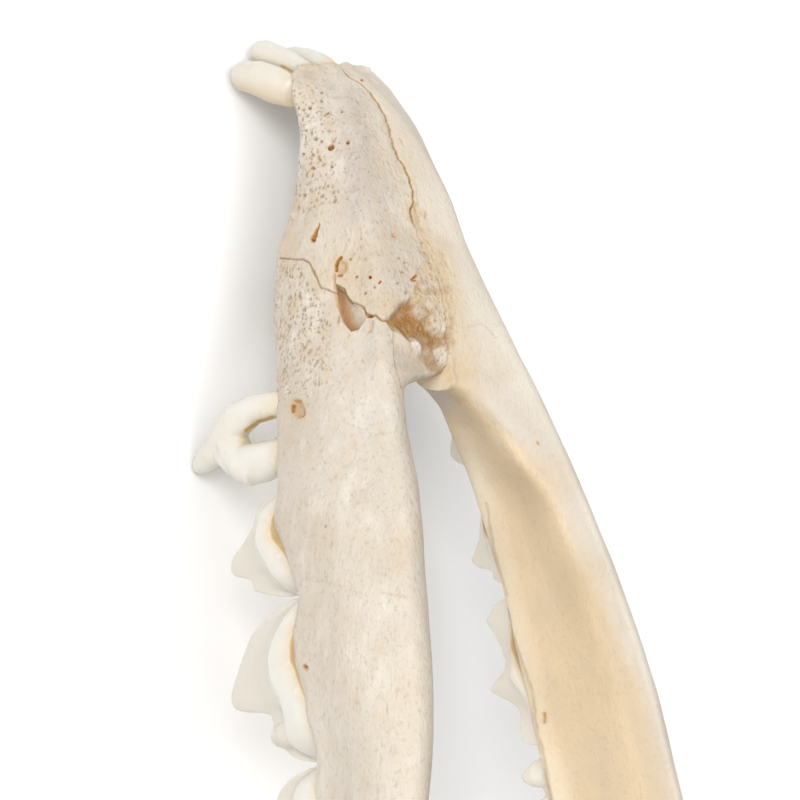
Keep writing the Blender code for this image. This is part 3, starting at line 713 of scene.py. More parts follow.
def spongy_end(real, spots, ventral):
    """The rough end of the symphysis: how deep it is cut, how dark its pores are, and its areas."""
    s = real[:, 1]
    flat = real * np.array((1.0, 1.0, 0.0))
    ragged = rough(flat, 0.9, 74, 4)
    swayed = shaken(spots, flat, 3.2, 0.9, 71)
    sponge = blend(-0.25, 0.3, reach_in(swayed, SPONGE)) * ventral
    cavity = blend(-0.45, 0.35, reach_in(swayed, CAVITY)) * ventral
    channel = blend(-0.6, 0.35, reach_in(swayed, CHANNEL)) * ventral
    step = blend(-0.04, 0.16, reach_in(spots, STEP)) * ventral
    step *= blend(0.0, 1.3, distance_to_path(spots, STEP_END) / PIXELS)
    fade = blend(-0.1, 1.8, reach_in(swayed, ROUGH))
    deep = sponge * fade * blend(15.5, 19.0, s) * (0.10 + 0.13 * ragged) * (1 - 0.8 * step) + 0.5 * step
    deep += cavity * (0.5 + 0.14 * ragged) + channel * (0.3 + 0.1 * ragged)
    dark = np.zeros(len(real))
    some = sponge > 0.02
    for size, seed, most in SPONGE_PORES:
        away, number = pores(flat[some], size, seed)
        hole = (1 - blend(0.1, 0.42, away)) * (number < 0.6) * sponge[some] * fade[some]
        hole *= 1 - 0.4 * step[some]
        deep[some] += most * hole * blend(16.0, 20.0, s[some])
        dark[some] = np.maximum(dark[some], 0.7 * hole)
    deep *= blend(SYMPHYSIS_END + 1.0, SYMPHYSIS_END - 0.4, s)
    return deep, dark, (sponge * fade, cavity, channel, step, fade)


def half_bone(name, left):
    """One half of the jaw in bone: melted from its profiles, cut at the seam, then worn and marked."""
    shapes = [body(left), ramus(), tube("neck", NECK), tube("angle", ANGLE)] + condyle()
    bone = melted(joined(shapes, name), VOXEL, BONE_SMOOTHING)
    cut(bone, seam_cutter(left))
    refine_front(bone)
    mesh = bone.data
    places = places_of(mesh)
    normals = normals_of(mesh)
    outward = normals[:, 0]
    side = np.array((-1.0 if left else 1.0, 1.0, 1.0))
    real = places * side
    spots = on_picture(real)
    seen = np.where(facing(normals * side)[:, None], spots, UNSEEN)
    jitter = noise(real, 0.35, 21)
    wander = shaken(seen, real, 1.3, 0.7, 31)
    blots = shaken(wander, real, 4.0, 1.7, 47)
    x, s, z = places.T
    from_seam = np.abs(real[:, 0] - np.interp(s, SEAM_STATIONS, SEAM_SHIFT))
    out = swells(real, left)

    # Foramina, pits, cracks and soft tan patches, and the left half's tan band, which is partly painted shade
    deep, stain = marks_on(seen, LEFT_MARKS if left else RIGHT_MARKS, jitter)
    more, colour = marks_on(places, LEFT_HIDDEN if left else RIGHT_HIDDEN, jitter)
    deep, stain = np.maximum(deep, more), np.maximum(stain, colour)
    more, line = marks_on(wander, LEFT_LINES if left else RIGHT_CRACKS + RIGHT_LINES, jitter)
    out -= np.maximum(deep, more)
    tan = 0.35 + 0.3 * noise(real, 5.0, 101)
    for where, marks in ((blots, LEFT_TAN if left else RIGHT_TAN), (seen, LEFT_TAN_AND_SHADE_BAND if left else ())):
        more, colour = marks_on(where, marks, jitter)
        out -= more
        tan += 0.55 * colour

    pit, porous, pocket, plate = np.zeros((4, len(places)))
    if not left:
        more, pit = marks_on(seen, [((spot,), half, 0.25, 1.5) for *spot, half in RIGHT_PORES], jitter)
        out -= more
        porous, more, dark = healed_ridges(real, seen, jitter)
        out -= more
        pit = np.maximum(pit, dark)
        more, pocket, plate = chin(real, seen, spots)
        out -= more
        for knob, half, high in KNOBS:
            out += high * (1 - blend(0.2, 1.2, distance_to_path(real, (knob,)) / half))

    # The ragged rim around the front, and bulges over the roots of the cheek teeth
    rim = blend(3.6, 0.6, s) * blend(-4.0, -0.6, z)
    out += (0.30 if left else 0.16) * rim * rough(real, 0.9, 76, 2)
    for root, high in ROOT_BULGES:
        out += high * blend(0.2, 0.8, outward) * blend(-9.0, -2.0, z) * np.exp(-((s - root) / 1.5) ** 2)

    rear, more, dark, colour = rear_bone(real)
    out += more
    pit = np.maximum(pit, dark)
    tan += colour

    # The hollow band along the inner side, and the warm inner wall: its honey tone is partly its own and
    # partly painted warm reflected light
    inner = blend(-0.25, -0.8, outward) * blend(34, 39, s) * blend(74, 64, s)
    out -= (0.06 if left else 0.2) * inner * np.exp(-((z + 4.5) / 2.5) ** 2)
    # Up to 1 the inner faces' honey tone, partly painted warm reflected light; above 1 the painted light of
    # the left wall below
    warm = blend(-0.6, -0.93, outward) * blend(28.2, 31, s) * (1.0 if left else 0.6)
    if left:
        # Painted light: on the left half the inner wall is painted paler near the symphysis and towards the
        # rim of the sockets, where it lies in shade
        warm *= 1 + np.clip(0.7 * blend(-4.5, -0.5, z) + 0.9 * blend(42, 33, s), 0, 1)
        # Painted shade: a tan band where the left half's inner wall turns towards its lower edge, placed by
        # which way the surface faces
        tan += 0.4 * np.exp(-((outward + 0.6) / 0.22) ** 2) * blend(32, 36, s)
        # Painted light: the left half's faces turned outwards and down are painted paler
        smooth = 0.85 * blend(-0.3, 0.05, outward)
    else:
        # Paler bone towards the rear; the pale beside the seam at the chin is painted light where that side
        # lies in shade
        smooth = 0.3 * blend(42.0, 62.0, s) + 0.55 * blend(3.4, 0.6, from_seam) * blend(18, 15, s)

    # All of it moves the surface along its normals, but the symphysis face stays clear of the other half
    calm = blend(SEAM_HALF + 0.05, SEAM_HALF + 0.6, from_seam + blend(31, 33, s))
    moved = places + normals * (out * calm)[:, None]
    middle = along(MEDIAL_X, s) / 2 + along(LATERAL_X, s) / 2
    rise = along(SOCKET_RIM, s) * blend(-3.6, -0.4, z - along(CREST_Z, s)) * blend(-1.0, 1.2, x - middle)
    moved[:, 2] += rise
    moved[:, 0] += 0.2 * np.maximum(rise, 0)

    # The spongy end of the symphysis and the stained groove of the seam, cut up into the underside
    skin = underside(places)
    ventral = blend(2.6, 1.6, z - skin)
    deep, dark, (sponge, cavity, channel, step, fade) = spongy_end(real, spots, ventral)
    pit = np.maximum(pit, dark)
    groove = blend(0.19, 0.07, from_seam) * blend(1.2, 0.5, z - skin)
    groove *= blend(0.8, 2.0, s) * blend(17.5, 15.5, s)
    deep = np.maximum(deep, 0.15 * groove)
    line = np.maximum(line, (0.8 + 0.4 * noise(real, 1.1, 45)) * groove)
    lifted = np.where(z - skin < 0.35, moved[:, 2] + deep, np.maximum(moved[:, 2], skin + deep))
    moved[:, 2] = np.where(deep > 0, lifted, moved[:, 2])
    put_places(mesh, moved)

    # Colour
    patches = rough(real, 1.3, 75, 3)
    porous = np.maximum(porous, 0.9 * sponge * (1 - 0.5 * cavity))
    white = np.clip(marks_on(0.4 * blots + 0.6 * seen, SPONGE_WHITE, jitter)[1] * ventral * fade, 0, 1)
    smooth = np.maximum(smooth, white) * (1 - 0.5 * rear)
    brown = np.maximum(cavity, 0.8 * channel) * blend(-1.3, -0.5, patches)
    brown = np.maximum(brown, 0.6 * sponge * (1 - 0.6 * step) * blend(-0.05, 0.35, rough(real, 1.9, 77, 3)))
    brown *= 1 - 0.85 * white
    tan += 0.6 * sponge * blend(-0.5, 0.3, patches) + 0.25 * step - 0.5 * white
    tan += 0.3 * blend(0.9, 0.15, from_seam) * blend(18, 15, s)
    tan += 0.6 * porous * blend(-0.1, 0.6, rough(real, 2.6, 103, 2))
    shaded(mesh, stain=np.clip(stain, 0, 2), line=np.clip(line, 0, 1.2), pit=np.clip(pit, 0, 1),
           brown=np.clip(brown, 0, 1), warm=np.clip(warm, 0, 2), porous=np.clip(porous, 0, 1),
           tan=np.clip(tan, 0, 1.5), pocket=pocket, plate=plate, smooth=smooth,
           grain=np.maximum(0.35 if left else 1.0, 0.9 * rear))
    if left:
        mirror(bone)
    return bone


def mirror(obj):
    mesh = obj.data
    places = places_of(mesh)
    places[:, 0] *= -1
    put_places(mesh, places)
    mesh.flip_normals()


# Cheek teeth. top: the cutting edge (s, z) and edge its x; ridge: the bulge on the outer side (s, z) and
# bulge its x; gum: where the tooth leaves the bone (s, z); tongue: x of the inner side.
RIGHT_CROWNS = {
    "p4": dict(
        top=((38.3, 2.2), (38.7, 4.1), (39.6, 5.2), (40.8, 5.8), (41.9, 7.0), (42.9, 8.5), (43.9, 8.9),
             (44.6, 8.2), (45.1, 6.5), (46.2, 6.2), (46.9, 4.6), (47.5, 2.4)),
        edge=((38, 12.6), (43, 13.6), (47.5, 13.4)),
        ridge=((38.3, 1.4), (39.4, 3.0), (40.8, 3.4), (42.4, 3.6), (44.4, 2.8), (46.0, 2.0), (47.5, 1.0)),
        bulge=((38, 13.6), (41, 14.9), (45, 15.0), (47.5, 14.4)),
        gum=((38.2, 0.2), (39.0, 0.4), (40.9, 1.0), (42.4, 1.0), (44.0, 0.0), (45.7, -0.7), (47.6, -0.9)),
        tongue=((38, 10.4), (43, 10.3), (47.5, 10.6)), width=4.4),
    "m1": dict(
        top=((48.0, 1.2), (48.5, 2.6), (49.1, 4.6), (49.7, 6.0), (50.8, 7.1), (52.6, 8.4), (54.4, 9.5),
             (55.4, 9.8), (56.2, 9.2), (56.7, 7.7), (57.3, 5.2), (58.3, 5.0), (59.5, 5.4), (60.7, 4.0),
             (61.7, 2.8), (62.3, 1.0)),
        edge=((48, 14.0), (52, 14.7), (55.4, 15.0), (58, 14.8), (62.3, 14.6)),
        ridge=((48.2, 0.0), (49.2, 0.4), (50.1, 0.9), (51.4, 1.9), (52.8, 2.6), (54.7, 2.7), (56.6, 1.8),
               (58.4, 1.6), (59.9, 2.0), (61.2, 1.4), (62.3, 0.4)),
        bulge=((48, 15.2), (50, 16.1), (55, 16.5), (60, 16.3), (62.3, 15.4)),
        gum=((47.9, -1.6), (48.7, -1.9), (51.8, -0.8), (53.5, -0.6), (55.4, -1.1), (57.7, -1.7), (59.9, -1.7),
             (62.5, -1.9)),
        tongue=((48, 10.6), (53, 9.9), (58, 10.1), (62.3, 11.0)), width=5.8),
    "m2": dict(
        top=((62.6, 0.8), (62.8, 2.9), (63.3, 4.4), (64.1, 5.4), (65.0, 5.7), (66.2, 4.8), (67.6, 5.1),
             (68.8, 3.6), (69.6, 1.2)),
        edge=((62.6, 14.2), (65, 15.0), (69.6, 15.0)),
        ridge=((62.6, 0.2), (63.6, 1.8), (65.5, 2.4), (67.8, 2.0), (69.6, 0.6)),
        bulge=((62.6, 14.8), (64.5, 16.0), (67.5, 16.2), (69.6, 15.4)),
        gum=((62.5, -1.4), (65.5, -1.0), (69.6, -0.6)),
        tongue=((62.6, 11.6), (66, 11.2), (69.6, 12.2)), width=5.0),
    "m3": dict(
        top=((70.1, 1.0), (70.6, 2.2), (71.6, 2.9), (72.7, 2.4), (73.2, 1.2)),
        edge=((70, 14.3), (73.2, 14.9)),
        ridge=((70.1, 0.9), (71.6, 1.7), (73.2, 1.0)),
        bulge=((70, 14.9), (71.6, 15.7), (73.2, 15.6)),
        gum=((70, 0.0), (73.2, 0.6)),
        tongue=((70, 13.4), (71.6, 12.9), (73.2, 13.6)), width=2.9),
}
LEFT_CROWNS = {
    "p2": dict(
        top=((19.4, 3.1), (20.2, 4.5), (22.3, 7.0), (23.3, 6.7), (25.1, 4.5), (26.4, 3.8), (27.0, 2.8)),
        edge=((19.4, 7.8), (23, 8.6), (27, 9.1)),
        ridge=((19.4, 2.7), (23, 4.0), (27, 2.7)),
        bulge=((19.4, 8.6), (23, 9.8), (27, 9.8)),
        gum=((19.4, 1.9), (23, 2.6), (27, 1.8)),
        tongue=((19.4, 6.4), (23, 6.3), (27, 7.6)), width=3.3),
    "p3": dict(
        top=((28.8, 2.0), (29.6, 3.4), (31.0, 5.2), (33.0, 6.1), (34.4, 6.8), (35.3, 6.1), (36.1, 4.5),
             (37.2, 2.2)),
        edge=((28.8, 10.4), (33, 11.8), (37.2, 12.0)),
        ridge=((28.8, 2.0), (33, 3.2), (37.2, 1.6)),
        bulge=((28.8, 11.2), (33, 12.9), (37.2, 13.2)),
        gum=((28.8, 1.2), (33, 1.8), (37.2, 0.9)),
        tongue=((28.8, 8.6), (33, 8.8), (37.2, 10.0)), width=3.6),
    "p4": dict(
        RIGHT_CROWNS["p4"],
        top=((38.1, 1.8), (38.8, 3.8), (40.8, 5.6), (42.4, 6.5), (44.0, 8.0), (44.9, 7.2), (45.5, 5.6),
             (46.4, 5.2), (47.2, 3.6), (47.6, 1.4))),
    "m1": dict(
        RIGHT_CROWNS["m1"],
        top=((48.0, 1.0), (48.4, 4.6), (49.1, 6.3), (49.8, 7.2), (50.8, 6.8), (52.7, 6.2), (54.4, 6.4),
             (55.2, 8.0), (55.9, 8.9), (56.6, 8.0), (57.8, 6.0), (58.8, 5.4), (60.4, 5.6), (61.6, 4.8),
             (62.3, 1.6)),
        edge=((48, 13.4), (52, 13.8), (55.4, 14.2), (58, 14.2), (62.3, 14.0))),
    "m2": RIGHT_CROWNS["m2"],
    "m3": RIGHT_CROWNS["m3"],
}
# Stains between and under the rooted teeth, as marks in the camera's picture
TOOTH_STAINS = (
    (((282, 66), (291, 72)), 2.6, 0.0, 0.9), (((273, 417.5), (259, 421.5), (245.5, 430.5)), 2.6, 0.0, 1.0),
    (((276, 454), (276, 474)), 1.6, 0.0, 0.5), (((276, 100), (293, 107)), 3.0, 0.0, 0.4),
)
# Extra cusps: (x, s, z of the tip), radius at the foot, depth of the foot
CUSPS = {
    "m1": (((12.4, 56.6, 6.4), 1.3, 4.5), ((12.3, 60.2, 4.9), 1.3, 4.0), ((14.7, 59.4, 5.6), 1.4, 4.0)),
    "m2": (((12.9, 64.6, 5.2), 1.3, 4.0), ((13.1, 67.8, 4.5), 1.3, 4.0)),
}
LEFT_CUSPS = {"m2": CUSPS["m2"]}
# How a cusp narrows: (share of its depth below the tip, share of its radius)
CUSP_PROFILE = ((1.0, 1.0), (0.6, 1.0), (0.25, 0.72), (0.06, 0.35), (0.0, 0.1))
TOOTH_VOXEL = 0.1
TOOTH_SMOOTHING = 9


def crown_section(s, spec, share):
    """The outline across a cheek tooth at a station, as (x, z) points from the outer root over the edge."""
    top, edge = between(spec["top"], s), between(spec["edge"], s)
    ridge, bulge = between(spec["ridge"], s), between(spec["bulge"], s)
    gum, tongue = between(spec["gum"], s), between(spec["tongue"], s)
    pinch = 1 - 0.5 * abs(2 * share - 1) ** 6
    middle = (bulge + tongue) / 2
    bulge = middle + (bulge - middle) * pinch
    tongue = middle + (tongue - middle) * pinch
    edge = middle + (edge - middle) * (0.5 + 0.5 * pinch)
    ridge = min(ridge, top - 0.5)
    rise = top - ridge
    return [
        (bulge - 0.9, gum - 3.2), (bulge - 0.5, gum - 0.8), (bulge - 0.25, gum),
        (bulge + 0.08, gum + 0.45 * (ridge - gum)), (bulge + 0.04, ridge - 0.2), (bulge - 0.16, ridge + 0.1),
        (bulge + 0.45 * (edge - bulge) - 0.2, ridge + 0.42 * rise),
        (edge + 0.42, top - 0.3), (edge + 0.12, top), (edge - 0.28, top - 0.04), (edge - 0.6, top - 0.4),
        (edge + 0.4 * (tongue - edge), top - 0.5 * (top - gum)),
        (tongue + 0.15, gum + 0.3 * (top - gum)), (tongue, gum + 0.2), (tongue + 0.3, gum - 0.8),
        (tongue + 0.9, gum - 3.2),
    ]


def crown(name, spec, cusps):
    first, last = spec["top"][0][0], spec["top"][-1][0]
    count = int((last - first) / 0.2) + 1
    rings = []
    for n in range(count + 1):
        share = 0.5 - 0.5 * math.cos(math.pi * n / count)
        s = first + (last - first) * share
        section = closed_curve(crown_section(s, spec, share), 48)
        rings.append([point(x, s, z) for x, z in section])
    shapes = [loft(name, rings)]
    for (x, s, z), radius, deep in cusps:
        shapes.append(tube(name, [((x, s, z - down * deep), width * radius, width * radius)
                                  for down, width in CUSP_PROFILE]))
    return melted(joined(shapes, name), TOOTH_VOXEL, TOOTH_SMOOTHING)


def finish_crown(obj, spec, seed, left):
    """The fine surface of a cheek tooth, and where it is yellow, dull or glossy."""
    mesh = obj.data
    places = places_of(mesh)
    normals = normals_of(mesh)
    s, z = places[:, 1], places[:, 2]
    gum = along(spec["gum"], s) + along(SOCKET_RIM, s) * 0.4
    ridge = along(spec["ridge"], s)
    out = 0.035 * noise(places, 2.2, seed)
    put_places(mesh, places + normals * out[:, None])
    outer = blend(0.0, 0.5, normals[:, 0])
    over_gum = z - gum + 0.08 * noise(places, 1.2, seed + 2)
    root = outer * (0.35 * blend(1.6, 0.2, over_gum) + 0.65 * blend(0.4, -0.1, over_gum))
    root += (1 - outer) * blend(2.0, 0.6, over_gum)
    dull = blend(0.1, 0.45, z - ridge) * outer
    # far: the left teeth, which lie in shade, get painted lighter enamel
    shaded(mesh, root=np.clip(root, 0, 1), dull=np.clip(dull, 0, 1), far=np.full(len(places), float(left)))


def finish_root(tooth, low, high, seed):
    """The fine surface of a rooted tooth, yellow below a height and white above another."""
    mesh = tooth.data
    places = places_of(mesh)
    put_places(mesh, places + normals_of(mesh) * (0.035 * noise(places, 1.8, seed))[:, None])
    root = blend(high, low, places[:, 2] + 0.35 * noise(places, 1.2, seed + 2))
    root = np.maximum(0.5 * root, marks_on(on_picture(places), TOOTH_STAINS, noise(places, 0.5, seed))[1])
    return places, root


def peg_tooth(name, path, seed, low, high):
    """A single-rooted tooth, from path points (centre, half width across, half width fore and aft)."""
    tooth = melted(tube(name, path), TOOTH_VOXEL, TOOTH_SMOOTHING)
    _, root = finish_root(tooth, low, high, seed)
    normals = normals_of(tooth.data)
    # Painted shade: each incisor is painted yellower on the side turned backwards and duller grey on its
    # outer side
    root = np.maximum(root, 0.5 * blend(-0.3, 0.8, normals[:, 1]))
    shaded(tooth.data, root=root, dull=blend(0.3, 0.9, normals[:, 0]))
    return tooth


INCISORS = {
    "i1": ((((1.4, 1.8, -0.9), 0.7, 0.7), ((1.4, 0.8, -0.2), 1.0, 0.95), ((1.4, 0.1, 0.5), 1.15, 1.0),
            ((1.4, -0.6, 1.5), 1.25, 1.05), ((1.5, -1.4, 2.9), 1.3, 1.0), ((1.6, -2.1, 4.2), 1.15, 0.8),
            ((1.6, -2.5, 5.1), 0.7, 0.5)), -0.6, 0.4),
    "i2": ((((3.4, 1.9, -0.4), 0.6, 0.8), ((3.6, 0.8, 0.6), 1.0, 1.2), ((4.0, -0.5, 2.2), 1.15, 1.3),
            ((4.4, -1.7, 4.0), 1.3, 1.35), ((4.6, -2.5, 5.0), 1.25, 1.2), ((4.65, -2.75, 5.4), 0.95, 0.95)),
           -0.8, 0.8),
    "i3": ((((4.9, 2.7, -0.6), 0.8, 1.1), ((5.6, 2.4, 0.3), 1.15, 1.5), ((6.2, 1.4, 1.9), 1.35, 1.7),
            ((6.7, 0.4, 3.4), 1.4, 1.6), ((6.9, -0.1, 4.6), 1.4, 1.45), ((7.0, -0.35, 5.3), 1.3, 1.35),
            ((7.05, -0.45, 5.7), 0.95, 1.0)), -1.2, 1.4),
}


def p3_tooth():
    """The grown-out premolar: a curved front root, a short back root and the crown across them."""
    front = (((10.9, 30.6, 0.2), 1.1, 1.1), ((11.5, 30.4, 2.4), 1.15, 1.2), ((11.9, 30.25, 4.8), 1.2, 1.35),
             ((12.0, 30.65, 7.0), 1.3, 1.65), ((12.1, 31.8, 8.9), 1.3, 1.6), ((12.2, 32.95, 10.9), 1.15, 1.4),
             ((12.3, 33.35, 12.3), 0.9, 1.1), ((12.35, 33.55, 13.2), 0.65, 0.8),
             ((12.4, 33.6, 13.7), 0.35, 0.4))
    heel = (((12.2, 33.2, 9.6), 1.1, 1.1), ((12.3, 34.4, 8.1), 1.1, 1.15), ((12.4, 35.3, 6.7), 1.15, 1.2),
            ((12.5, 35.9, 5.4), 1.0, 1.15))
    back = (((11.4, 35.0, 0.4), 1.35, 1.55), ((11.8, 34.95, 2.6), 1.4, 1.65),
            ((12.0, 35.05, 4.4), 1.45, 1.85), ((12.1, 34.95, 5.9), 1.45, 1.85),
            ((12.1, 34.2, 7.7), 1.3, 1.5), ((12.1, 33.4, 9.0), 1.1, 1.2))
    arch = (((12.0, 31.2, 8.0), 1.1, 1.0), ((12.0, 32.6, 7.75), 1.2, 1.05), ((12.0, 34.0, 7.2), 1.2, 1.1))
    girdle = (((12.1, 29.9, 5.8), 0.8, 0.9), ((12.3, 30.4, 8.0), 0.9, 1.0), ((12.5, 31.8, 9.0), 0.85, 1.0),
              ((12.7, 33.4, 8.2), 0.85, 1.05), ((12.8, 34.8, 6.9), 1.0, 1.25), ((12.6, 35.5, 5.0), 0.8, 1.1))
    shapes = [tube("p3", path) for path in (front, heel, back, arch, girdle)]
    tooth = melted(joined(shapes, "p3"), TOOTH_VOXEL, TOOTH_SMOOTHING + 2)
    places, root = finish_root(tooth, 0.4, 3.4, 301)
    x, s, z = places.T
    hole = blend(0.95, 0.35, np.hypot((s - 32.3) / 1.5, (z - 4.4) / 2.6) - 0.55) * blend(13.0, 12.2, x)
    root = np.maximum(root, 0.5 * hole * blend(34.2, 33.0, s))
    shaded(tooth.data, root=np.clip(root, 0, 1), dull=0 * root)
    return tooth


# Materials


class Nodes:
    """A material's node tree, with short calls to add to it."""

    def __init__(self, name):
        self.material = bpy.data.materials.new(name)
        self.material.use_nodes = True
        self.tree = self.material.node_tree
        self.shader = self.tree.nodes["Principled BSDF"]

    def put(self, socket, value):
        if isinstance(value, bpy.types.NodeSocket):
            self.tree.links.new(value, socket)
        else:
            socket.default_value = value

    def add(self, kind, inputs=(), **settings):
        node = self.tree.nodes.new(kind)
        for key, value in settings.items():
            setattr(node, key, value)
        for key, value in dict(inputs).items():
            self.put(node.inputs[key], value)
        return node

    def where(self, scale=(1, 1, 1)):
        """Places on the piece, turned to the jaw's own axes, in metres."""
        spot = self.add("ShaderNodeTexCoord").outputs["Object"]
        turn = (-math.pi - PITCH, 0, 0)
        return self.add("ShaderNodeMapping", {"Vector": spot, "Rotation": turn, "Scale": scale}).outputs[0]

    def layer(self, name):
        return self.add("ShaderNodeAttribute", attribute_name=name, attribute_type="GEOMETRY").outputs["Fac"]

    def noise(self, scale, detail=3.0, stretch=(1, 1, 1), roughness=0.5):
        inputs = {"Vector": self.where(stretch), "Scale": scale, "Detail": detail, "Roughness": roughness}
        return self.add("ShaderNodeTexNoise", inputs).outputs["Fac"]

    def span(self, value, low, high, to_low=0.0, to_high=1.0):
        node = self.add("ShaderNodeMapRange", {"Value": value, "From Min": low, "From Max": high,
                                               "To Min": to_low, "To Max": to_high})
        return node.outputs["Result"]

    def times(self, a, b):
        return self.add("ShaderNodeMath", {0: a, 1: b}, operation="MULTIPLY").outputs[0]

    def plus(self, a, b):
        return self.add("ShaderNodeMath", {0: a, 1: b}, operation="ADD").outputs[0]

    def mix(self, factor, a, b, mode="MIX"):
        node = self.add("ShaderNodeMix", data_type="RGBA", blend_type=mode)
        self.put(node.inputs[0], factor)
        self.put(node.inputs[6], a)
        self.put(node.inputs[7], b)
        return node.outputs[2]

    def bump(self, height, distance, strength=1.0, before=None):
        inputs = {"Height": height, "Distance": distance, "Strength": strength}
        if before is not None:
            inputs["Normal"] = before
        return self.add("ShaderNodeBump", inputs).outputs["Normal"]


IVORY = (0.550, 0.498, 0.428, 1)
CREAM = (0.510, 0.442, 0.360, 1)
CHALK = (0.650, 0.605, 0.535, 1)
TAN = (0.520, 0.400, 0.250, 1)
PLATE = (0.420, 0.368, 0.325, 1)
# HONEY: the inner wall's tone, partly its own and partly painted warm reflected light
HONEY = (0.750, 0.595, 0.395, 1)
# Painted light: the paler colour of the left inner wall where it lies in shade
PAINTED_LIGHT_WALL = (0.930, 0.840, 0.680, 1)
LINE = (0.340, 0.200, 0.070, 1)
PALE = (0.700, 0.640, 0.545, 1)
STAIN = (0.43, 0.205, 0.040, 1)
DARK = (0.10, 0.055, 0.025, 1)
BROWN = (0.285, 0.140, 0.036, 1)
PIT = (0.28, 0.195, 0.115, 1)
HOLLOW = (0.35, 0.170, 0.055, 1)


def bone_material():
    n = Nodes("bone")
    cloud = n.noise(150, 4, roughness=0.6)
    colour = n.mix(n.span(cloud, 0.35, 0.65), IVORY, CREAM)
    # The plate's grey-pink tone, faded towards the seam as painted light
    colour = n.mix(n.times(n.layer("plate"), 0.8), colour, PLATE)
    pale = n.span(n.noise(120, 3), 0.3, 0.7, 0.55, 0.95)
    # Paler bone: its own tone towards the rear and on the sponge's white lumps, and painted light beside the
    # seam and on the left half's outward faces
    colour = n.mix(n.times(n.layer("smooth"), pale), colour, PALE)
    worn = n.noise(620, 4, (1, 0.4, 1), 0.6)
    more = n.plus(n.times(n.layer("porous"), 0.5), n.times(n.layer("grain"), 0.5))
    colour = n.mix(n.times(n.span(worn, 0.52, 0.70), more), colour, CHALK)
    colour = n.mix(n.times(n.span(worn, 0.46, 0.30), n.times(more, 0.6)), colour, TAN)
    # The honey tone of the inner faces, partly its own and partly painted warm reflected light
    colour = n.mix(n.times(n.layer("warm"), n.span(n.noise(260, 3), 0.3, 0.7, 0.75, 1.0)), colour, HONEY)
    # Painted light: the paler colour lifts the shaded left inner wall
    colour = n.mix(n.span(n.layer("warm"), 1.0, 2.0), colour, PAINTED_LIGHT_WALL)
    colour = n.mix(n.span(n.layer("tan"), 0.3, 1.3, 0, 0.85), colour, TAN)
    speck = n.noise(2700, 3, (1, 0.7, 1), 0.6)
    strength = n.plus(n.times(n.layer("porous"), 0.45), n.times(n.layer("plate"), 0.3))
    colour = n.mix(n.times(n.span(speck, 0.55, 0.68),
                        n.plus(strength, n.times(n.layer("grain"), 0.28))), colour, PIT)
    colour = n.mix(n.times(n.layer("pit"), 0.85), colour, PIT)
    colour = n.mix(n.times(n.layer("pocket"), 0.95), colour, HOLLOW)
    brown = n.times(n.layer("brown"), n.span(n.noise(900, 4), 0.3, 0.62, 0.65, 1.0))
    colour = n.mix(brown, colour, BROWN)
    colour = n.mix(n.times(n.layer("line"), 0.8), colour, LINE)
    colour = n.mix(n.span(n.layer("stain"), 0.0, 1.0, 0.0, 0.95), colour, STAIN)
    colour = n.mix(n.span(n.layer("stain"), 1.0, 1.7, 0.0, 0.95), colour, DARK)
    n.put(n.shader.inputs["Base Color"], colour)
    rough_map = n.span(n.noise(700, 4), 0.3, 0.7, 0.48, 0.66)
    rough_map = n.plus(rough_map, n.times(n.layer("porous"), 0.12))
    n.put(n.shader.inputs["Roughness"], rough_map)
    fine = n.bump(n.noise(4200, 3, (1, 0.4, 1), 0.6), 0.00012, n.layer("grain"))
    specks = n.bump(n.span(speck, 0.72, 0.5), 0.00005, 0.5, fine)
    grained = n.bump(n.noise(1500, 4, (1, 0.16, 1)), 0.00013, n.times(n.layer("grain"), 0.7), specks)
    n.put(n.shader.inputs["Normal"], grained)
    n.shader.inputs["Subsurface Weight"].default_value = 0.12
    n.shader.inputs["Subsurface Radius"].default_value = (1.0, 0.6, 0.35)
    n.shader.inputs["Subsurface Scale"].default_value = 0.0012
    n.shader.inputs["IOR"].default_value = 1.45
    return n.material


ENAMEL = (0.650, 0.628, 0.575, 1)
ENAMEL_WARM = (0.630, 0.592, 0.510, 1)
# Enamel for the left teeth, painted lighter to stand in for the light their shaded side lacks
ENAMEL_PAINTED_LIGHTER_FAR = (0.860, 0.815, 0.725, 1)
DENTINE = (0.600, 0.430, 0.200, 1)
ROOT_LINE = (0.380, 0.230, 0.080, 1)
FACET = (0.580, 0.535, 0.455, 1)


def enamel_material():
    n = Nodes("enamel")
    colour = n.mix(n.span(n.noise(380, 3), 0.35, 0.65), ENAMEL, ENAMEL_WARM)
    colour = n.mix(n.times(n.layer("dull"), 0.65), colour, FACET)
    # Painted light: lighter enamel on the left teeth, which lie in shade
    colour = n.mix(n.times(n.layer("far"), 0.9), colour, ENAMEL_PAINTED_LIGHTER_FAR)
    root = n.times(n.layer("root"), n.span(n.noise(700, 3), 0.25, 0.6, 0.88, 1.0))
    colour = n.mix(root, colour, DENTINE)
    colour = n.mix(n.span(root, 0.65, 1.0, 0.0, 0.8), colour, ROOT_LINE)
    n.put(n.shader.inputs["Base Color"], colour)
    shine = n.span(n.noise(900, 3), 0.3, 0.7, 0.16, 0.26)
    shine = n.plus(shine, n.times(n.layer("dull"), 0.25))
    shine = n.plus(shine, n.times(n.layer("root"), 0.15))
    n.put(n.shader.inputs["Roughness"], shine)
    lines = n.bump(n.noise(1800, 3, (1, 1, 0.3)), 0.00004, 0.25)
    n.put(n.shader.inputs["Normal"], lines)
    n.shader.inputs["Subsurface Weight"].default_value = 0.2
    n.shader.inputs["Subsurface Radius"].default_value = (1.0, 0.85, 0.65)
    n.shader.inputs["Subsurface Scale"].default_value = 0.0012
    n.shader.inputs["IOR"].default_value = 1.6
    return n.material


def floor_material():
    n = Nodes("floor")
    n.put(n.shader.inputs["Base Color"], (0.88, 0.88, 0.88, 1))
    n.put(n.shader.inputs["Roughness"], 0.85)
    n.put(n.shader.inputs["Specular IOR Level"], 0.2)
    return n.material


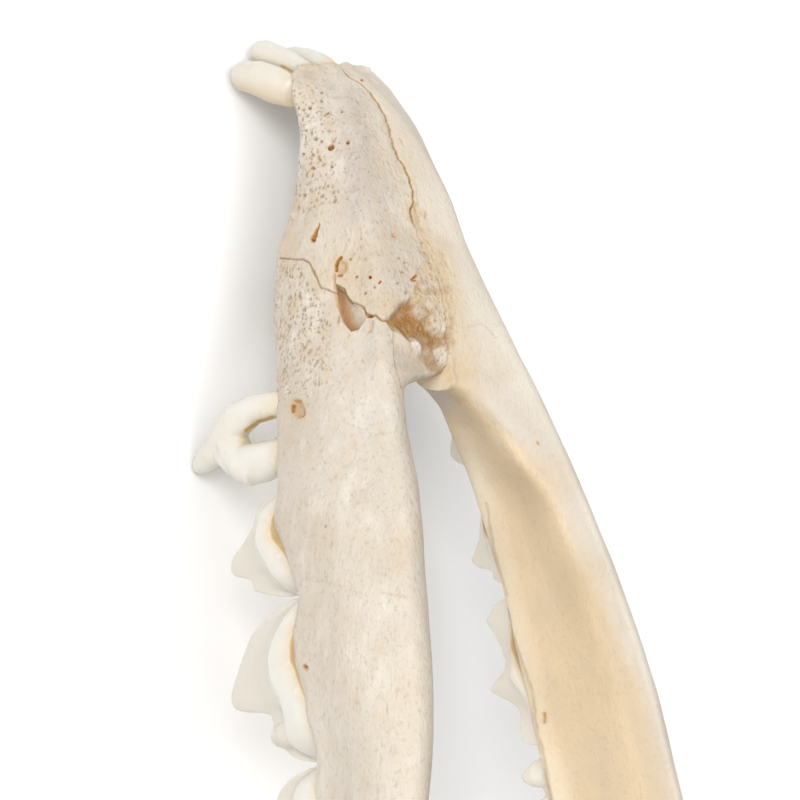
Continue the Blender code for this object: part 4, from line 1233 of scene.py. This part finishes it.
def make_camera():
    data = bpy.data.cameras.new("camera")
    data.lens = LENS
    data.sensor_width = SENSOR
    data.clip_start = 0.01
    camera = bpy.data.objects.new("camera", data)
    bpy.context.scene.collection.objects.link(camera)
    turn = Matrix((ACROSS, UP, -VIEW)).transposed().to_4x4()
    camera.matrix_world = Matrix.Translation(EYE) @ turn
    bpy.context.scene.camera = camera


def area_light(name, place, size, power):
    data = bpy.data.lights.new(name, "AREA")
    data.shape = "DISK"
    data.size = size
    data.energy = power
    light = bpy.data.objects.new(name, data)
    light.location = place
    light.rotation_euler = Vector(place).to_track_quat("Z", "Y").to_euler()
    bpy.context.scene.collection.objects.link(light)


def make_studio():
    bpy.ops.mesh.primitive_plane_add(size=FLOOR_SIZE)
    floor = bpy.context.object
    floor.name = "floor"
    floor.data.materials.append(floor_material())
    world = bpy.data.worlds.new("studio")
    world.use_nodes = True
    background = world.node_tree.nodes["Background"]
    background.inputs["Color"].default_value = (1, 1, 1, 1)
    background.inputs["Strength"].default_value = DOME_STRENGTH
    bpy.context.scene.world = world
    for lamp in LAMPS:
        area_light(*lamp)
    bpy.context.scene.view_settings.view_transform = "Standard"


def put_piece(obj, material):
    obj.data.materials.clear()
    obj.data.materials.append(material)
    obj.data.transform(REST)
    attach(obj, "root")


make_camera()
make_studio()
bone, enamel = bone_material(), enamel_material()
for side, left in (("right", False), ("left", True)):
    piece = half_bone("bone_" + side, left)
    put_piece(piece, bone)
    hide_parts("half_jaw_" + side)
    for number, (tooth, spec) in enumerate((LEFT_CROWNS if left else RIGHT_CROWNS).items()):
        piece = crown(f"tooth_{tooth}_{side}", spec, (LEFT_CUSPS if left else CUSPS).get(tooth, ()))
        finish_crown(piece, spec, 200 + 10 * number, left)
        if left:
            mirror(piece)
        put_piece(piece, enamel)
for number, (tooth, (path, low, high)) in enumerate(INCISORS.items()):
    put_piece(peg_tooth(f"tooth_{tooth}_right", path, 400 + 10 * number, low, high), enamel)
piece = p3_tooth()
piece.name = "tooth_p3_right"
put_piece(piece, enamel)
